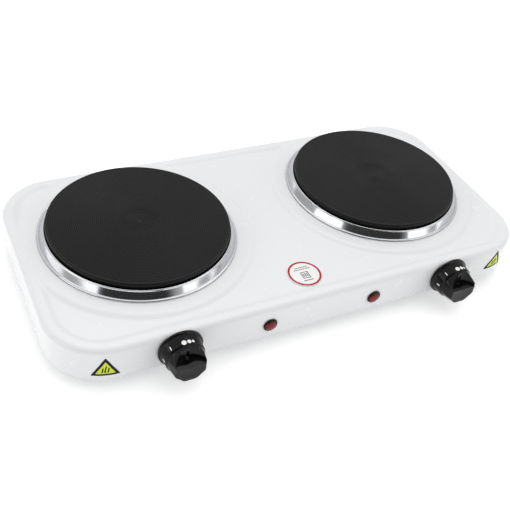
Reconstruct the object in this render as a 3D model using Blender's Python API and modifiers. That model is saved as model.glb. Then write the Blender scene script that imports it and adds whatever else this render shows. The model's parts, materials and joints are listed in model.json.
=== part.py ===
"""Double electric hot plate: a pressed steel body with two cast-iron plates, each with its own knob and lamp.

Metres, +Z up, front towards -Y. The origin lies on the floor, under the centre of the whole object's box.
"""

import math

import bmesh
import bpy
from mathutils import Matrix, Vector

# Fits
GAP = 0.0003            # between pieces that touch
CUT = 0.002             # how far a cutter runs past the face it opens

# Body
BODY_LENGTH = 0.445
BODY_DEPTH = 0.216
SHELL_HEIGHT = 0.031    # bottom edge of the shell to the deck
SHEET = 0.0008
CORNER_RADIUS = 0.047
TOP_EDGE_RADIUS = 0.0045

# Deck: a border, two round pads at the border's level, and a sunk area between them
BORDER_WIDTH = 0.008
RECESS_DEPTH = 0.0018
STEP_SLOPE = 0.0025
PAD_MARGIN = 0.012      # pad beyond the trim ring

# Feet and base
FOOT_HEIGHT = 0.012     # floor to the shell's bottom edge
FOOT_RADIUS = 0.0095
FOOT_INSET = 0.032      # foot's centre from the body's sides
FOOT_BORE_RADIUS = 0.0045
FOOT_BORE_DEPTH = 0.006
FOOT_CHAMFER = 0.0012
BASE_RISE = 0.0005      # base sheet above the shell's bottom edge
BASE_CLEARANCE = 0.0006
VENT_LENGTH = 0.040
VENT_WIDTH = 0.004
VENT_PITCH = 0.010
VENT_COUNT = 5
SCREW_RADIUS = 0.002
SCREW_HEAD_RADIUS = 0.0032
SCREW_HEAD_HEIGHT = 0.0022
SCREW_HEAD_SIDE = 0.0011    # straight side of the head, below its crown
SCREW_CROWN_RADIUS = 0.0022
SCREW_TIP = 0.004           # foot screw past its bracket
SCREW_CLEARANCE = 0.0004
BRACKET_SIZE = 0.026
BRACKET_ARM = 0.012     # arm that reaches the straight part of the wall
BRACKET_HEIGHT = 0.014
BRACKET_SHEET = 0.0012

# Plates and what clamps them
PLATE_RADIUS = 0.0775
PLATE_RISE = 0.0132     # top of the plate above the deck
PLATE_RIM = 0.005       # height of the rim that shows
PLATE_THICKNESS = 0.010
PLATE_CHAMFER = 0.0012
PLATE_BACKSET = 0.0117  # plate's centre behind the body's centre
DISH_RADIUS = 0.020
DISH_DEPTH = 0.0009
SPIGOT_INSET = 0.0065   # spigot inside the rim
SPIGOT_WALL = 0.005
SPIGOT_DEPTH = 0.0152
BOSS_RADIUS = 0.020
BOSS_DROP = 0.006
DECK_OPENING_GAP = 0.003
RING_OVERHANG = 0.0072  # trim ring beyond the plate
RING_LIP = 0.0045       # trim ring under the plate's rim
RING_SHEET = 0.0006
RING_BEAD_START = 0.0007    # rolled bead, outside the plate's rim
RING_BEAD_WIDTH = 0.0014
RING_BEAD_RISE = 0.0004
RING_FOOT = 0.0016
RING_FOOT_EDGE = 0.0005
RING_SIDE_MARGIN = 0.0184
ELEMENT_HEIGHT = 0.0075
ELEMENT_CLEARANCE = 0.001
SHIELD_SHEET = 0.0006
SHIELD_FLANGE = 0.007
SHIELD_OVERLAP = 0.007  # shield's wall outside the deck opening
SHIELD_TAPER = 0.003
SHIELD_CORNER = 0.003
NOTCH_LENGTH = 0.020
NOTCH_WIDTH = 0.026
NOTCH_HEIGHT = 0.012
STUD_RADIUS = 0.003
STUD_GRIP = 0.0075      # stud inside the plate's boss
STUD_TAIL = 0.0065      # stud below the shield
STUD_FLOOR_GAP = 0.0026 # stud's end above the base sheet
NUT_RADIUS = 0.0058
NUT_HEIGHT = 0.005
CERAMIC_LENGTH = 0.012
CERAMIC_WIDTH = 0.024
CERAMIC_OFFSET = 0.042  # ceramic block from the plate's axis, towards the body's centre
PIN_RADIUS = 0.0012
PIN_LENGTH = 0.006
PIN_PITCH = 0.010
PIN_DROP = 0.0029       # element's pins below the plate's spigot
PIN_ROOT = 0.001        # pin inside the ceramic block

# Knobs, shafts and thermostats
KNOB_SIDE_MARGIN = 0.0942   # knob's axis from the body's side
KNOB_LIFT = 0.00155         # knob's axis above the middle of the space inside
KNOB_CLEARANCE = 0.0008
KNOB_LENGTH = 0.024         # front of the knob from the wall
KNOB_RADIUS = 0.0184        # flange
KNOB_FLANGE_HEIGHT = 0.0036
KNOB_FLANGE_STEP = 0.0018   # flange to skirt
KNOB_SKIRT_HEIGHT = 0.0125
KNOB_SKIRT_STEP = 0.0018    # skirt to grip
KNOB_SHOULDER = 0.0012      # height of the slope from skirt to grip
KNOB_TAPER = 0.0014         # grip to end face
KNOB_EDGE = 0.0006
KNOB_END_FILLET = 0.0009
KNOB_WALL = 0.0016
KNOB_CAVITY = 0.0048
KNOB_HUB_RADIUS = 0.0058
SCOOP_DEPTH = 0.009
SCOOP_FLOOR = 0.003         # flat of the scoop above the knob's axis
FLUTES = 8                  # places round the grip, the scoop in one of them
FLUTE_SAG = 0.0004          # hollow of a flute at the end face
FLUTE_SKIRT_GAP = 0.0003    # between a flute's end and the skirt
FLUTE_OVERRUN = 0.006       # how far the flute cutters reach past the end face
SHAFT_RADIUS = 0.003
SHAFT_FLAT = 0.0021         # flat of the shaft from its axis
SHAFT_FIT = 0.0003
SHAFT_REACH = 0.0165        # shaft in front of the wall
SHAFT_DEPTH = 0.012         # shaft behind the wall
SHAFT_HOLE_RADIUS = 0.005
THERMOSTAT_PLATE_WIDTH = 0.034
THERMOSTAT_PLATE_SHEET = 0.0012
THERMOSTAT_WIDTH = 0.028
THERMOSTAT_DEPTH = 0.020
THERMOSTAT_HEAD_GAP = 0.0015    # between the plate's top edge and the deck
THERMOSTAT_STEP = 0.001         # plate beyond the switch body, above and below
TAB_SIZE = Vector((0.0063, 0.006, 0.0010))
TAB_PITCH = 0.014
THERMOSTAT_SCREW_PITCH = 0.022
THERMOSTAT_SCREW_LENGTH = 0.006

# Pilot lamps
LAMP_SPACING = 0.100
LAMP_HEIGHT = 0.0132
BEZEL_RADIUS = 0.0062
BEZEL_THICKNESS = 0.0016
BEZEL_WALL = 0.0011
BEZEL_CHAMFER = 0.0006
LENS_RADIUS = 0.0034
LENS_RISE = 0.0030
LENS_LENGTH = 0.009
LENS_STEPS = 3
LAMP_BARREL = 0.016

# Cord bush and connections at the rear
BUSH_BORE_RADIUS = 0.0038
BUSH_BARREL_RADIUS = 0.0062
BUSH_FLANGE_RADIUS = 0.0085
BUSH_OUTSIDE = 0.0035
BUSH_INSIDE = 0.006
BUSH_CHAMFER = 0.001
BUSH_LIFT = 0.00165         # bush's axis above the middle of the space inside
BLOCK_SIZE = Vector((0.052, 0.016, 0.012))
BLOCK_WAYS = 5
BLOCK_PITCH = 0.010
BLOCK_REAR_MARGIN = 0.026
WAY_RADIUS = 0.0019
EARTH_STUD_RADIUS = 0.002
EARTH_STUD_HEIGHT = 0.011
EARTH_COLLAR_RADIUS = 0.0045
EARTH_COLLAR_HEIGHT = 0.0015
EARTH_STUD_SETBACK = 0.026     # stud in front of the block

# Internal wires
WIRE_RADIUS = 0.0013
WIRE_START = 0.004      # straight stretch at each end
LAMP_WIRE_RADIUS = 0.0015
WIRE_STEP = 0.0095

# Labels
LABEL_THICKNESS = 0.0003
ROUND_LABEL_RADIUS = 0.015
ROUND_LABEL_PLACE = (-0.005, 0.0295)    # x, and its centre from the front edge
HOT_LABEL_SIDE = 0.0225
HOT_LABEL_ARC = {"left": 0.0107, "right": 0.0086}   # label's centre along the rounded corner
HOT_LABEL_LIFT = {"left": -0.0011, "right": 0.0032} # label's middle above the wall's middle
RATING_SIZE = Vector((0.070, 0.040, 0.0003))

# Roundness
BIG_STEPS = 40
MID_STEPS = 28
SMALL_STEPS = 12
CORNER_STEPS = 8
EDGE_STEPS = 3

SIDES = {"left": -1, "right": 1}
ENDS = {"front": -1, "rear": 1}

# Heights and places worked out from the sizes above
SHELL_BOTTOM = FOOT_HEIGHT
DECK = SHELL_BOTTOM + SHELL_HEIGHT
DECK_UNDERSIDE = DECK - SHEET
RECESS_UNDERSIDE = DECK_UNDERSIDE - RECESS_DEPTH
BASE_UNDERSIDE = SHELL_BOTTOM + BASE_RISE
BASE_TOP = BASE_UNDERSIDE + SHEET
MIDDLE = (BASE_TOP + RECESS_UNDERSIDE) / 2      # of the space inside
FRONT = -BODY_DEPTH / 2
REAR = BODY_DEPTH / 2
FRONT_INSIDE = FRONT + SHEET
RING_RADIUS = PLATE_RADIUS + RING_OVERHANG
PAD_RADIUS = RING_RADIUS + PAD_MARGIN
PLATE_X = BODY_LENGTH / 2 - RING_SIDE_MARGIN - RING_RADIUS
PLATE_TOP = DECK + PLATE_RISE
RIM_UNDERSIDE = PLATE_TOP - PLATE_RIM
PLATE_UNDERSIDE = PLATE_TOP - PLATE_THICKNESS
SPIGOT_RADIUS = PLATE_RADIUS - SPIGOT_INSET
SPIGOT_BOTTOM = RIM_UNDERSIDE - SPIGOT_DEPTH
DECK_OPENING = SPIGOT_RADIUS + DECK_OPENING_GAP
SHIELD_TOP = DECK_UNDERSIDE - GAP
SHIELD_BOTTOM = BASE_TOP + STUD_FLOOR_GAP + STUD_TAIL
SHIELD_WALL = DECK_OPENING + SHIELD_OVERLAP
ELEMENT_TOP = PLATE_UNDERSIDE - GAP
ELEMENT_BOTTOM = ELEMENT_TOP - ELEMENT_HEIGHT
CERAMIC_TOP = ELEMENT_BOTTOM - GAP
PIN_HEIGHT = SPIGOT_BOTTOM - PIN_DROP
CERAMIC_BOTTOM = (PIN_HEIGHT + SHIELD_BOTTOM + SHIELD_SHEET) / 2
KNOB_X = BODY_LENGTH / 2 - KNOB_SIDE_MARGIN
KNOB_Z = MIDDLE + KNOB_LIFT
KNOB_SKIRT_RADIUS = KNOB_RADIUS - KNOB_FLANGE_STEP
KNOB_GRIP_RADIUS = KNOB_SKIRT_RADIUS - KNOB_SKIRT_STEP
KNOB_END_RADIUS = KNOB_GRIP_RADIUS - KNOB_TAPER
THERMOSTAT_PLATE_HEIGHT = 2 * (RECESS_UNDERSIDE - THERMOSTAT_HEAD_GAP - KNOB_Z)
THERMOSTAT_HEIGHT = THERMOSTAT_PLATE_HEIGHT - 2 * THERMOSTAT_STEP
LAMP_Z = SHELL_BOTTOM + LAMP_HEIGHT
BUSH_Z = MIDDLE + BUSH_LIFT
BLOCK_Y = REAR - BLOCK_REAR_MARGIN
BLOCK_Z = BASE_TOP + GAP + BLOCK_SIZE.z / 2
EARTH_Y = BLOCK_Y - BLOCK_SIZE.y / 2 - EARTH_STUD_SETBACK
BODY_SHIFT = (KNOB_LENGTH - BUSH_OUTSIDE) / 2   # puts the origin under the middle of the whole box
FACING_FRONT = (math.radians(90), 0, 0)         # local +Z to the front, local +Y up
FACING_REAR = (math.radians(-90), 0, 0)

FINISHES = {
    "white_enamel": ((0.80, 0.80, 0.80), 0.30, 0.0),
    "cast_iron": ((0.022, 0.022, 0.023), 0.62, 0.3),
    "bright_stainless": ((0.72, 0.72, 0.73), 0.12, 1.0),
    "galvanised_steel": ((0.50, 0.51, 0.52), 0.42, 1.0),
    "zinc_screw": ((0.60, 0.60, 0.61), 0.30, 1.0),
    "black_phenolic": ((0.012, 0.012, 0.014), 0.22, 0.0),
    "black_rubber": ((0.020, 0.020, 0.020), 0.75, 0.0),
    "red_lens": ((0.38, 0.006, 0.012), 0.15, 0.0),
    "magnesia": ((0.62, 0.58, 0.52), 0.85, 0.0),
    "steatite": ((0.75, 0.72, 0.66), 0.55, 0.0),
    "brass": ((0.62, 0.44, 0.18), 0.30, 1.0),
    "wire_sleeve": ((0.66, 0.62, 0.55), 0.70, 0.0),
    "earth_sleeve": ((0.20, 0.42, 0.08), 0.60, 0.0),
    "label_paper": ((0.78, 0.78, 0.76), 0.45, 0.0),
    "label_yellow": ((0.55, 0.66, 0.03), 0.40, 0.0),
    "label_silver": ((0.55, 0.56, 0.57), 0.35, 1.0),
}


def clear_scene():
    for obj in list(bpy.data.objects):
        bpy.data.objects.remove(obj, do_unlink=True)


def make_collection(name):
    found = bpy.data.collections.new(name)
    bpy.context.scene.collection.children.link(found)
    return found


def finish(name):
    """The named finish as a material, made once."""
    if name in bpy.data.materials:
        return bpy.data.materials[name]
    colour, roughness, metallic = FINISHES[name]
    material = bpy.data.materials.new(name)
    material.use_nodes = True
    shader = material.node_tree.nodes["Principled BSDF"]
    shader.inputs["Base Color"].default_value = (*colour, 1)
    shader.inputs["Roughness"].default_value = roughness
    shader.inputs["Metallic"].default_value = metallic
    material.diffuse_color = (*colour, 1)
    return material


clear_scene()
PARTS = make_collection("hot_plate")
CUTTERS = make_collection("cutters")
ROOT = bpy.data.objects.new("hot_plate_origin", None)
ROOT.location = (0, BODY_SHIFT, 0)
PARTS.objects.link(ROOT)


def add(name, data, look=None, at=(0, 0, 0), turn=(0, 0, 0), parent=ROOT):
    """A part when it has a look, and a hidden cutter when it has none."""
    obj = bpy.data.objects.new(name, data)
    obj.parent = parent
    obj.location = at
    obj.rotation_euler = turn
    if look:
        data.materials.append(finish(look))
        PARTS.objects.link(obj)
    else:
        obj.hide_render = True
        obj.display_type = "WIRE"
        CUTTERS.objects.link(obj)
    return obj


def to_mesh(bm, name):
    mesh = bpy.data.meshes.new(name)
    bm.to_mesh(mesh)
    bm.free()
    mesh.shade_smooth()
    mesh.set_sharp_from_angle(angle=math.radians(30))
    return mesh


def combine(obj, other, operation="DIFFERENCE"):
    change = obj.modifiers.new(f"{operation.title()} {other.name}", "BOOLEAN")
    change.operation = operation
    change.object = other
    change.solver = "EXACT"


def box(name, size, look=None, centre=(0, 0, 0), **place):
    """A block of this size about centre, in the object's own axes."""
    bm = bmesh.new()
    matrix = Matrix.Translation(centre) @ Matrix.Diagonal((*size, 1))
    bmesh.ops.create_cube(bm, size=1, matrix=matrix)
    return add(name, to_mesh(bm, name), look, **place)


def rod(name, radius, low, high, look=None, steps=SMALL_STEPS, end_radius=None, **place):
    """A round bar or cone along its own Z, from low to high."""
    bm = bmesh.new()
    bmesh.ops.create_cone(
        bm, cap_ends=True, segments=steps, radius1=radius,
        radius2=radius if end_radius is None else end_radius,
        depth=high - low, matrix=Matrix.Translation((0, 0, (low + high) / 2)),
    )
    return add(name, to_mesh(bm, name), look, **place)


def turned(name, profile, look=None, steps=MID_STEPS, loop=False, sheet=None, **place):
    """A profile of (radius, height) points, down its outer side, turned about Z. A sheet gives it a wall."""
    mesh = bpy.data.meshes.new(name)
    last = len(profile) - 1
    edges = [(i, i + 1) for i in range(last)] + ([(last, 0)] if loop else [])
    mesh.from_pydata([(radius, 0, height) for radius, height in profile], edges, [])
    obj = add(name, mesh, look, **place)
    turn = obj.modifiers.new("Turn", "SCREW")
    turn.steps = turn.render_steps = steps
    turn.use_merge_vertices = True
    turn.merge_threshold = 0.00001
    turn.use_smooth_shade = True
    if sheet:
        wall = obj.modifiers.new("Sheet", "SOLIDIFY")
        wall.thickness = sheet
        wall.offset = -1
        wall.use_even_offset = True
    return obj


def rounded_block(name, length, depth, low, high, corner, top_edge=0, taper=0, look=None):
    """An upright block with rounded corners, and a rounded or a tapered top to bottom as asked."""
    bm = bmesh.new()
    matrix = Matrix.Translation((0, 0, (low + high) / 2)) @ Matrix.Diagonal((length, depth, high - low, 1))
    bmesh.ops.create_cube(bm, size=1, matrix=matrix)
    upright = [e for e in bm.edges if abs(e.verts[0].co.z - e.verts[1].co.z) > (high - low) / 2]
    bmesh.ops.bevel(
        bm, geom=upright, offset=corner, segments=CORNER_STEPS, profile=0.5, affect="EDGES", material=-1
    )
    if top_edge:
        top = max(bm.faces, key=lambda face: face.calc_center_median().z)
        bmesh.ops.bevel(
            bm, geom=list(top.edges), offset=top_edge, segments=EDGE_STEPS, profile=0.5, affect="EDGES",
            material=-1,
        )
    if taper:
        lower = [v for v in bm.verts if v.co.z < (low + high) / 2]
        bmesh.ops.scale(bm, vec=(1 - 2 * taper / length, 1 - 2 * taper / depth, 1), verts=lower)
    return add(name, to_mesh(bm, name), look)


def recess_cutter(tag, inset):
    """The space over the sunk part of the deck, for its upper face or, with inset, for its underside."""
    top = DECK + CUT
    floor = DECK - RECESS_DEPTH - inset
    slope = STEP_SLOPE / RECESS_DEPTH
    flare = slope * (CUT + inset)
    length = BODY_LENGTH - 2 * BORDER_WIDTH + 2 * flare
    depth = BODY_DEPTH - 2 * BORDER_WIDTH + 2 * flare
    corner = CORNER_RADIUS - BORDER_WIDTH + flare
    cutter = rounded_block(
        f"recess_{tag}", length, depth, floor, top, corner, taper=slope * (top - floor)
    )
    for side, sign in SIDES.items():
        pad = rod(
            f"pad_{tag}_{side}", PAD_RADIUS + STEP_SLOPE, floor - CUT, top + CUT, steps=BIG_STEPS,
            end_radius=PAD_RADIUS + STEP_SLOPE - slope * (top - floor + 2 * CUT),
            at=(sign * PLATE_X, PLATE_BACKSET, 0),
        )
        combine(cutter, pad)
    return cutter


def top_shell():
    shell = rounded_block(
        "top_shell", BODY_LENGTH, BODY_DEPTH, SHELL_BOTTOM, DECK, CORNER_RADIUS, TOP_EDGE_RADIUS,
        look="white_enamel",
    )
    combine(shell, recess_cutter("outer", 0))
    core = rounded_block(
        "shell_core", BODY_LENGTH - 2 * SHEET, BODY_DEPTH - 2 * SHEET, SHELL_BOTTOM - CUT, DECK - SHEET,
        CORNER_RADIUS - SHEET, TOP_EDGE_RADIUS - SHEET,
    )
    combine(core, recess_cutter("inner", SHEET))
    combine(shell, core)
    for side, sign in SIDES.items():
        opening = rod(
            f"plate_opening_{side}", DECK_OPENING, DECK - 5 * CUT, DECK + CUT, steps=BIG_STEPS,
            at=(sign * PLATE_X, PLATE_BACKSET, 0),
        )
        combine(shell, opening)
        knob_hole = rod(
            f"shaft_hole_{side}", SHAFT_HOLE_RADIUS, -SHEET - CUT, CUT, at=(sign * KNOB_X, FRONT, KNOB_Z),
            turn=FACING_FRONT,
        )
        combine(shell, knob_hole)
        for place, offset in (("inner", -sign), ("outer", sign)):
            screw_hole = rod(
                f"front_screw_hole_{side}_{place}", SCREW_RADIUS + SCREW_CLEARANCE, -SHEET - CUT, CUT,
                at=(sign * KNOB_X + offset * THERMOSTAT_SCREW_PITCH / 2, FRONT, KNOB_Z), turn=FACING_FRONT,
            )
            combine(shell, screw_hole)
        lamp_hole = rod(
            f"lamp_hole_{side}", LENS_RADIUS + GAP + BEZEL_WALL + GAP, -SHEET - CUT, CUT,
            at=(sign * LAMP_SPACING / 2, FRONT, LAMP_Z), turn=FACING_FRONT,
        )
        combine(shell, lamp_hole)
    bush_hole = rod(
        "bush_hole", BUSH_BARREL_RADIUS + GAP, -SHEET - CUT, CUT, at=(0, REAR, BUSH_Z), turn=FACING_REAR
    )
    combine(shell, bush_hole)


def bottom_plate():
    edge = SHEET + BASE_CLEARANCE
    plate = rounded_block(
        "bottom_plate", BODY_LENGTH - 2 * edge, BODY_DEPTH - 2 * edge, BASE_UNDERSIDE, BASE_TOP,
        CORNER_RADIUS - edge, look="galvanised_steel",
    )
    bm = bmesh.new()
    for sign in SIDES.values():
        for row in range(VENT_COUNT):
            y = PLATE_BACKSET + (row - (VENT_COUNT - 1) / 2) * VENT_PITCH
            matrix = Matrix.Translation((sign * PLATE_X, y, (BASE_UNDERSIDE + BASE_TOP) / 2))
            size = Matrix.Diagonal((VENT_LENGTH, VENT_WIDTH, SHEET + 2 * CUT, 1))
            bmesh.ops.create_cube(bm, size=1, matrix=matrix @ size)
    combine(plate, add("vents", to_mesh(bm, "vents")))
    for end, side, x, y in foot_places():
        hole = rod(
            f"base_screw_hole_{end}_{side}", SCREW_RADIUS + SCREW_CLEARANCE,
            BASE_UNDERSIDE - CUT, BASE_TOP + CUT, at=(x, y, 0),
        )
        combine(plate, hole)
    box("rating_plate", RATING_SIZE, "label_silver", at=(0, 0, BASE_UNDERSIDE - GAP - RATING_SIZE.z / 2))


def foot_places():
    for end, along in ENDS.items():
        for side, sign in SIDES.items():
            yield end, side, sign * (BODY_LENGTH / 2 - FOOT_INSET), along * (BODY_DEPTH / 2 - FOOT_INSET)


def feet():
    """Rubber feet, their screws, and the brackets inside the shell that the screws hold."""
    hole = SCREW_RADIUS + SCREW_CLEARANCE
    top = BASE_UNDERSIDE - GAP
    foot = [
        (hole, top), (FOOT_RADIUS, top), (FOOT_RADIUS, FOOT_CHAMFER), (FOOT_RADIUS - FOOT_CHAMFER, 0),
        (FOOT_BORE_RADIUS, 0), (FOOT_BORE_RADIUS, FOOT_BORE_DEPTH), (hole, FOOT_BORE_DEPTH),
    ]
    head_top = FOOT_BORE_DEPTH - GAP
    bracket_bottom = BASE_TOP + GAP
    tip = bracket_bottom + BRACKET_SHEET + SCREW_TIP
    for end, side, x, y in foot_places():
        turned(f"foot_{end}_{side}", foot, "black_rubber", steps=16, loop=True, at=(x, y, 0))
        screw(f"foot_screw_{end}_{side}", tip - head_top, at=(x, y, head_top), turn=(math.pi, 0, 0))
        along = ENDS[end]
        sign = SIDES[side]
        outer = abs(x) + BRACKET_SIZE / 2
        arm_outer = BODY_LENGTH / 2 - CORNER_RADIUS
        arm_inner = arm_outer - BRACKET_ARM
        wall = along * (BODY_DEPTH / 2 - SHEET - GAP)
        floor_z = bracket_bottom + BRACKET_SHEET / 2
        bracket = box(
            f"corner_bracket_{end}_{side}", (outer - arm_inner, BRACKET_SIZE, BRACKET_SHEET),
            "galvanised_steel", at=(sign * (outer + arm_inner) / 2, y, floor_z),
        )
        arm = box(
            f"bracket_arm_{end}_{side}", (BRACKET_ARM, abs(wall - y), BRACKET_SHEET),
            at=(sign * (arm_outer + arm_inner) / 2, (wall + y) / 2, floor_z),
        )
        flange = box(
            f"bracket_flange_{end}_{side}", (BRACKET_ARM, BRACKET_SHEET, BRACKET_HEIGHT),
            at=(
                sign * (arm_outer + arm_inner) / 2, wall - along * BRACKET_SHEET / 2,
                bracket_bottom + BRACKET_HEIGHT / 2,
            ),
        )
        combine(bracket, arm, "UNION")
        combine(bracket, flange, "UNION")
        combine(bracket, rod(f"bracket_hole_{end}_{side}", hole, bracket_bottom - CUT, tip, at=(x, y, 0)))


def screw(name, length, **place):
    """A pan-head screw with its head's seat at the origin, the shank along -Z."""
    profile = [
        (0, SCREW_HEAD_HEIGHT), (SCREW_CROWN_RADIUS, SCREW_HEAD_HEIGHT),
        (SCREW_HEAD_RADIUS, SCREW_HEAD_SIDE), (SCREW_HEAD_RADIUS, 0), (SCREW_RADIUS, 0),
        (SCREW_RADIUS, -length), (0, -length),
    ]
    return turned(name, profile, "zinc_screw", steps=SMALL_STEPS, **place)


def hotplate(side, centre):
    """Cast-iron plate: a rim that rests on the ring, a spigot through the deck and a boss for the stud."""
    boss_bottom = PLATE_UNDERSIDE - BOSS_DROP
    hole = STUD_RADIUS + GAP
    profile = [
        (0, PLATE_TOP - DISH_DEPTH), (DISH_RADIUS - 2 * DISH_DEPTH, PLATE_TOP - DISH_DEPTH),
        (DISH_RADIUS, PLATE_TOP), (PLATE_RADIUS - PLATE_CHAMFER, PLATE_TOP),
        (PLATE_RADIUS, PLATE_TOP - PLATE_CHAMFER), (PLATE_RADIUS, RIM_UNDERSIDE),
        (SPIGOT_RADIUS, RIM_UNDERSIDE), (SPIGOT_RADIUS, SPIGOT_BOTTOM),
        (SPIGOT_RADIUS - SPIGOT_WALL, SPIGOT_BOTTOM), (SPIGOT_RADIUS - SPIGOT_WALL, PLATE_UNDERSIDE),
        (BOSS_RADIUS, PLATE_UNDERSIDE), (BOSS_RADIUS, boss_bottom), (hole, boss_bottom),
        (hole, boss_bottom + STUD_GRIP + GAP), (0, boss_bottom + STUD_GRIP + GAP),
    ]
    turned(f"hotplate_{side}", profile, "cast_iron", steps=BIG_STEPS, at=centre)


def trim_ring(side, centre):
    """Spun stainless ring: a lip under the plate's rim, a rolled edge, and a slope down to the deck."""
    lip = RIM_UNDERSIDE - GAP
    foot = DECK + GAP + RING_SHEET
    bead = PLATE_RADIUS + RING_BEAD_START
    profile = [
        (PLATE_RADIUS - RING_LIP, lip), (bead, lip), (bead + RING_BEAD_WIDTH / 2, lip + RING_BEAD_RISE),
        (bead + RING_BEAD_WIDTH, lip), (RING_RADIUS - RING_FOOT, foot + RING_FOOT_EDGE),
        (RING_RADIUS - RING_FOOT + RING_FOOT_EDGE, foot), (RING_RADIUS, foot),
    ]
    turned(f"trim_ring_{side}", profile, "bright_stainless", steps=BIG_STEPS, sheet=RING_SHEET, at=centre)


def heat_shield(side, sign, centre):
    """Pressed dish under the plate, its flange up against the deck, with a notch for the wires."""
    flange = SHIELD_TOP - SHIELD_SHEET
    foot = SHIELD_WALL - SHIELD_TAPER
    profile = [
        (SHIELD_WALL + SHIELD_FLANGE, flange), (SHIELD_WALL, flange), (foot, SHIELD_BOTTOM + SHIELD_CORNER),
        (foot - SHIELD_CORNER, SHIELD_BOTTOM), (STUD_RADIUS + GAP, SHIELD_BOTTOM),
    ]
    shield = turned(
        f"heat_shield_{side}", profile, "galvanised_steel", steps=MID_STEPS, sheet=SHIELD_SHEET, at=centre
    )
    notch = box(
        f"wire_notch_{side}", (NOTCH_LENGTH, NOTCH_WIDTH, NOTCH_HEIGHT),
        centre=(-sign * SHIELD_WALL, 0, PIN_HEIGHT), at=centre,
    )
    combine(shield, notch)


def ceramic_block(side, sign, centre):
    """Terminal block of the element, with two pins towards the body's centre."""
    x = -sign * CERAMIC_OFFSET
    block = box(
        f"ceramic_block_{side}", (CERAMIC_LENGTH, CERAMIC_WIDTH, CERAMIC_TOP - CERAMIC_BOTTOM), "steatite",
        centre=(x, 0, (CERAMIC_TOP + CERAMIC_BOTTOM) / 2), at=centre,
    )
    for row, along in ENDS.items():
        pin = rod(
            f"pin_{side}_{row}", PIN_RADIUS, -PIN_ROOT, PIN_LENGTH,
            at=(centre[0] + x - sign * CERAMIC_LENGTH / 2, centre[1] + along * PIN_PITCH / 2, PIN_HEIGHT),
            turn=(0, -sign * math.radians(90), 0),
        )
        combine(block, pin, "UNION")


def plate_unit(side, sign):
    centre = (sign * PLATE_X, PLATE_BACKSET, 0)
    hotplate(side, centre)
    trim_ring(side, centre)
    heat_shield(side, sign, centre)
    ceramic_block(side, sign, centre)
    outer = SPIGOT_RADIUS - SPIGOT_WALL - ELEMENT_CLEARANCE
    inner = BOSS_RADIUS + ELEMENT_CLEARANCE
    ring = [(inner, ELEMENT_TOP), (outer, ELEMENT_TOP), (outer, ELEMENT_BOTTOM), (inner, ELEMENT_BOTTOM)]
    turned(f"heating_element_{side}", ring, "magnesia", steps=BIG_STEPS, loop=True, at=centre)
    boss_bottom = PLATE_UNDERSIDE - BOSS_DROP
    rod(
        f"plate_stud_{side}", STUD_RADIUS, SHIELD_BOTTOM - STUD_TAIL, boss_bottom + STUD_GRIP, "zinc_screw",
        at=centre,
    )
    nut_top = SHIELD_BOTTOM - GAP
    nut = rod(f"stud_nut_{side}", NUT_RADIUS, nut_top - NUT_HEIGHT, nut_top, "zinc_screw", steps=6, at=centre)
    thread = rod(f"nut_bore_{side}", STUD_RADIUS + GAP, nut_top - NUT_HEIGHT - CUT, nut_top + CUT, at=centre)
    combine(nut, thread)


def flatted_rod(name, radius, flat, low, high, look=None, **place):
    """A round bar with one flat, towards its own +Y."""
    obj = rod(name, radius, low, high, look, **place)
    bm = bmesh.new()
    bm.from_mesh(obj.data)
    geom = bm.verts[:] + bm.edges[:] + bm.faces[:]
    cut = bmesh.ops.bisect_plane(bm, geom=geom, plane_co=(0, flat, 0), plane_no=(0, 1, 0), clear_outer=True)
    rim = [item for item in cut["geom_cut"] if isinstance(item, bmesh.types.BMEdge)]
    bmesh.ops.contextual_create(bm, geom=rim)
    bm.to_mesh(obj.data)
    bm.free()
    return obj


def knob(side, axis):
    """Knob: a flange, a skirt that carries the numbers, and a fluted grip with a finger scoop at its top."""
    profile = [
        (0, KNOB_LENGTH), (KNOB_END_RADIUS - KNOB_END_FILLET, KNOB_LENGTH),
        (KNOB_END_RADIUS, KNOB_LENGTH - KNOB_END_FILLET),
        (KNOB_GRIP_RADIUS, KNOB_SKIRT_HEIGHT + KNOB_SHOULDER),
        (KNOB_SKIRT_RADIUS - KNOB_EDGE, KNOB_SKIRT_HEIGHT), (KNOB_SKIRT_RADIUS, KNOB_FLANGE_HEIGHT),
        (KNOB_RADIUS, KNOB_FLANGE_HEIGHT - KNOB_EDGE), (KNOB_RADIUS, KNOB_CLEARANCE),
        (KNOB_SKIRT_RADIUS - KNOB_WALL, KNOB_CLEARANCE), (KNOB_SKIRT_RADIUS - KNOB_WALL, KNOB_CAVITY),
        (KNOB_HUB_RADIUS, KNOB_CAVITY), (KNOB_HUB_RADIUS, KNOB_CLEARANCE), (0, KNOB_CLEARANCE),
    ]
    body = turned(f"knob_{side}", profile, "black_phenolic", parent=axis, turn=FACING_FRONT)
    bore = flatted_rod(
        f"knob_bore_{side}", SHAFT_RADIUS + SHAFT_FIT, SHAFT_FLAT + SHAFT_FIT,
        -CUT, SHAFT_REACH + SHAFT_FIT, parent=axis, turn=FACING_FRONT,
    )
    combine(body, bore)
    half_width = math.sqrt(KNOB_END_RADIUS**2 - SCOOP_FLOOR**2)
    scoop_radius = (half_width**2 + SCOOP_DEPTH**2) / (2 * SCOOP_DEPTH)
    scoop = rod(
        f"knob_scoop_{side}", scoop_radius, SCOOP_FLOOR, 2 * KNOB_RADIUS, steps=MID_STEPS,
        at=(0, -(KNOB_LENGTH + scoop_radius - SCOOP_DEPTH), 0), parent=axis,
    )
    combine(body, scoop)
    for i in range(1, FLUTES):
        combine(body, flute(f"knob_flute_{side}_{i}", i, axis))


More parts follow.
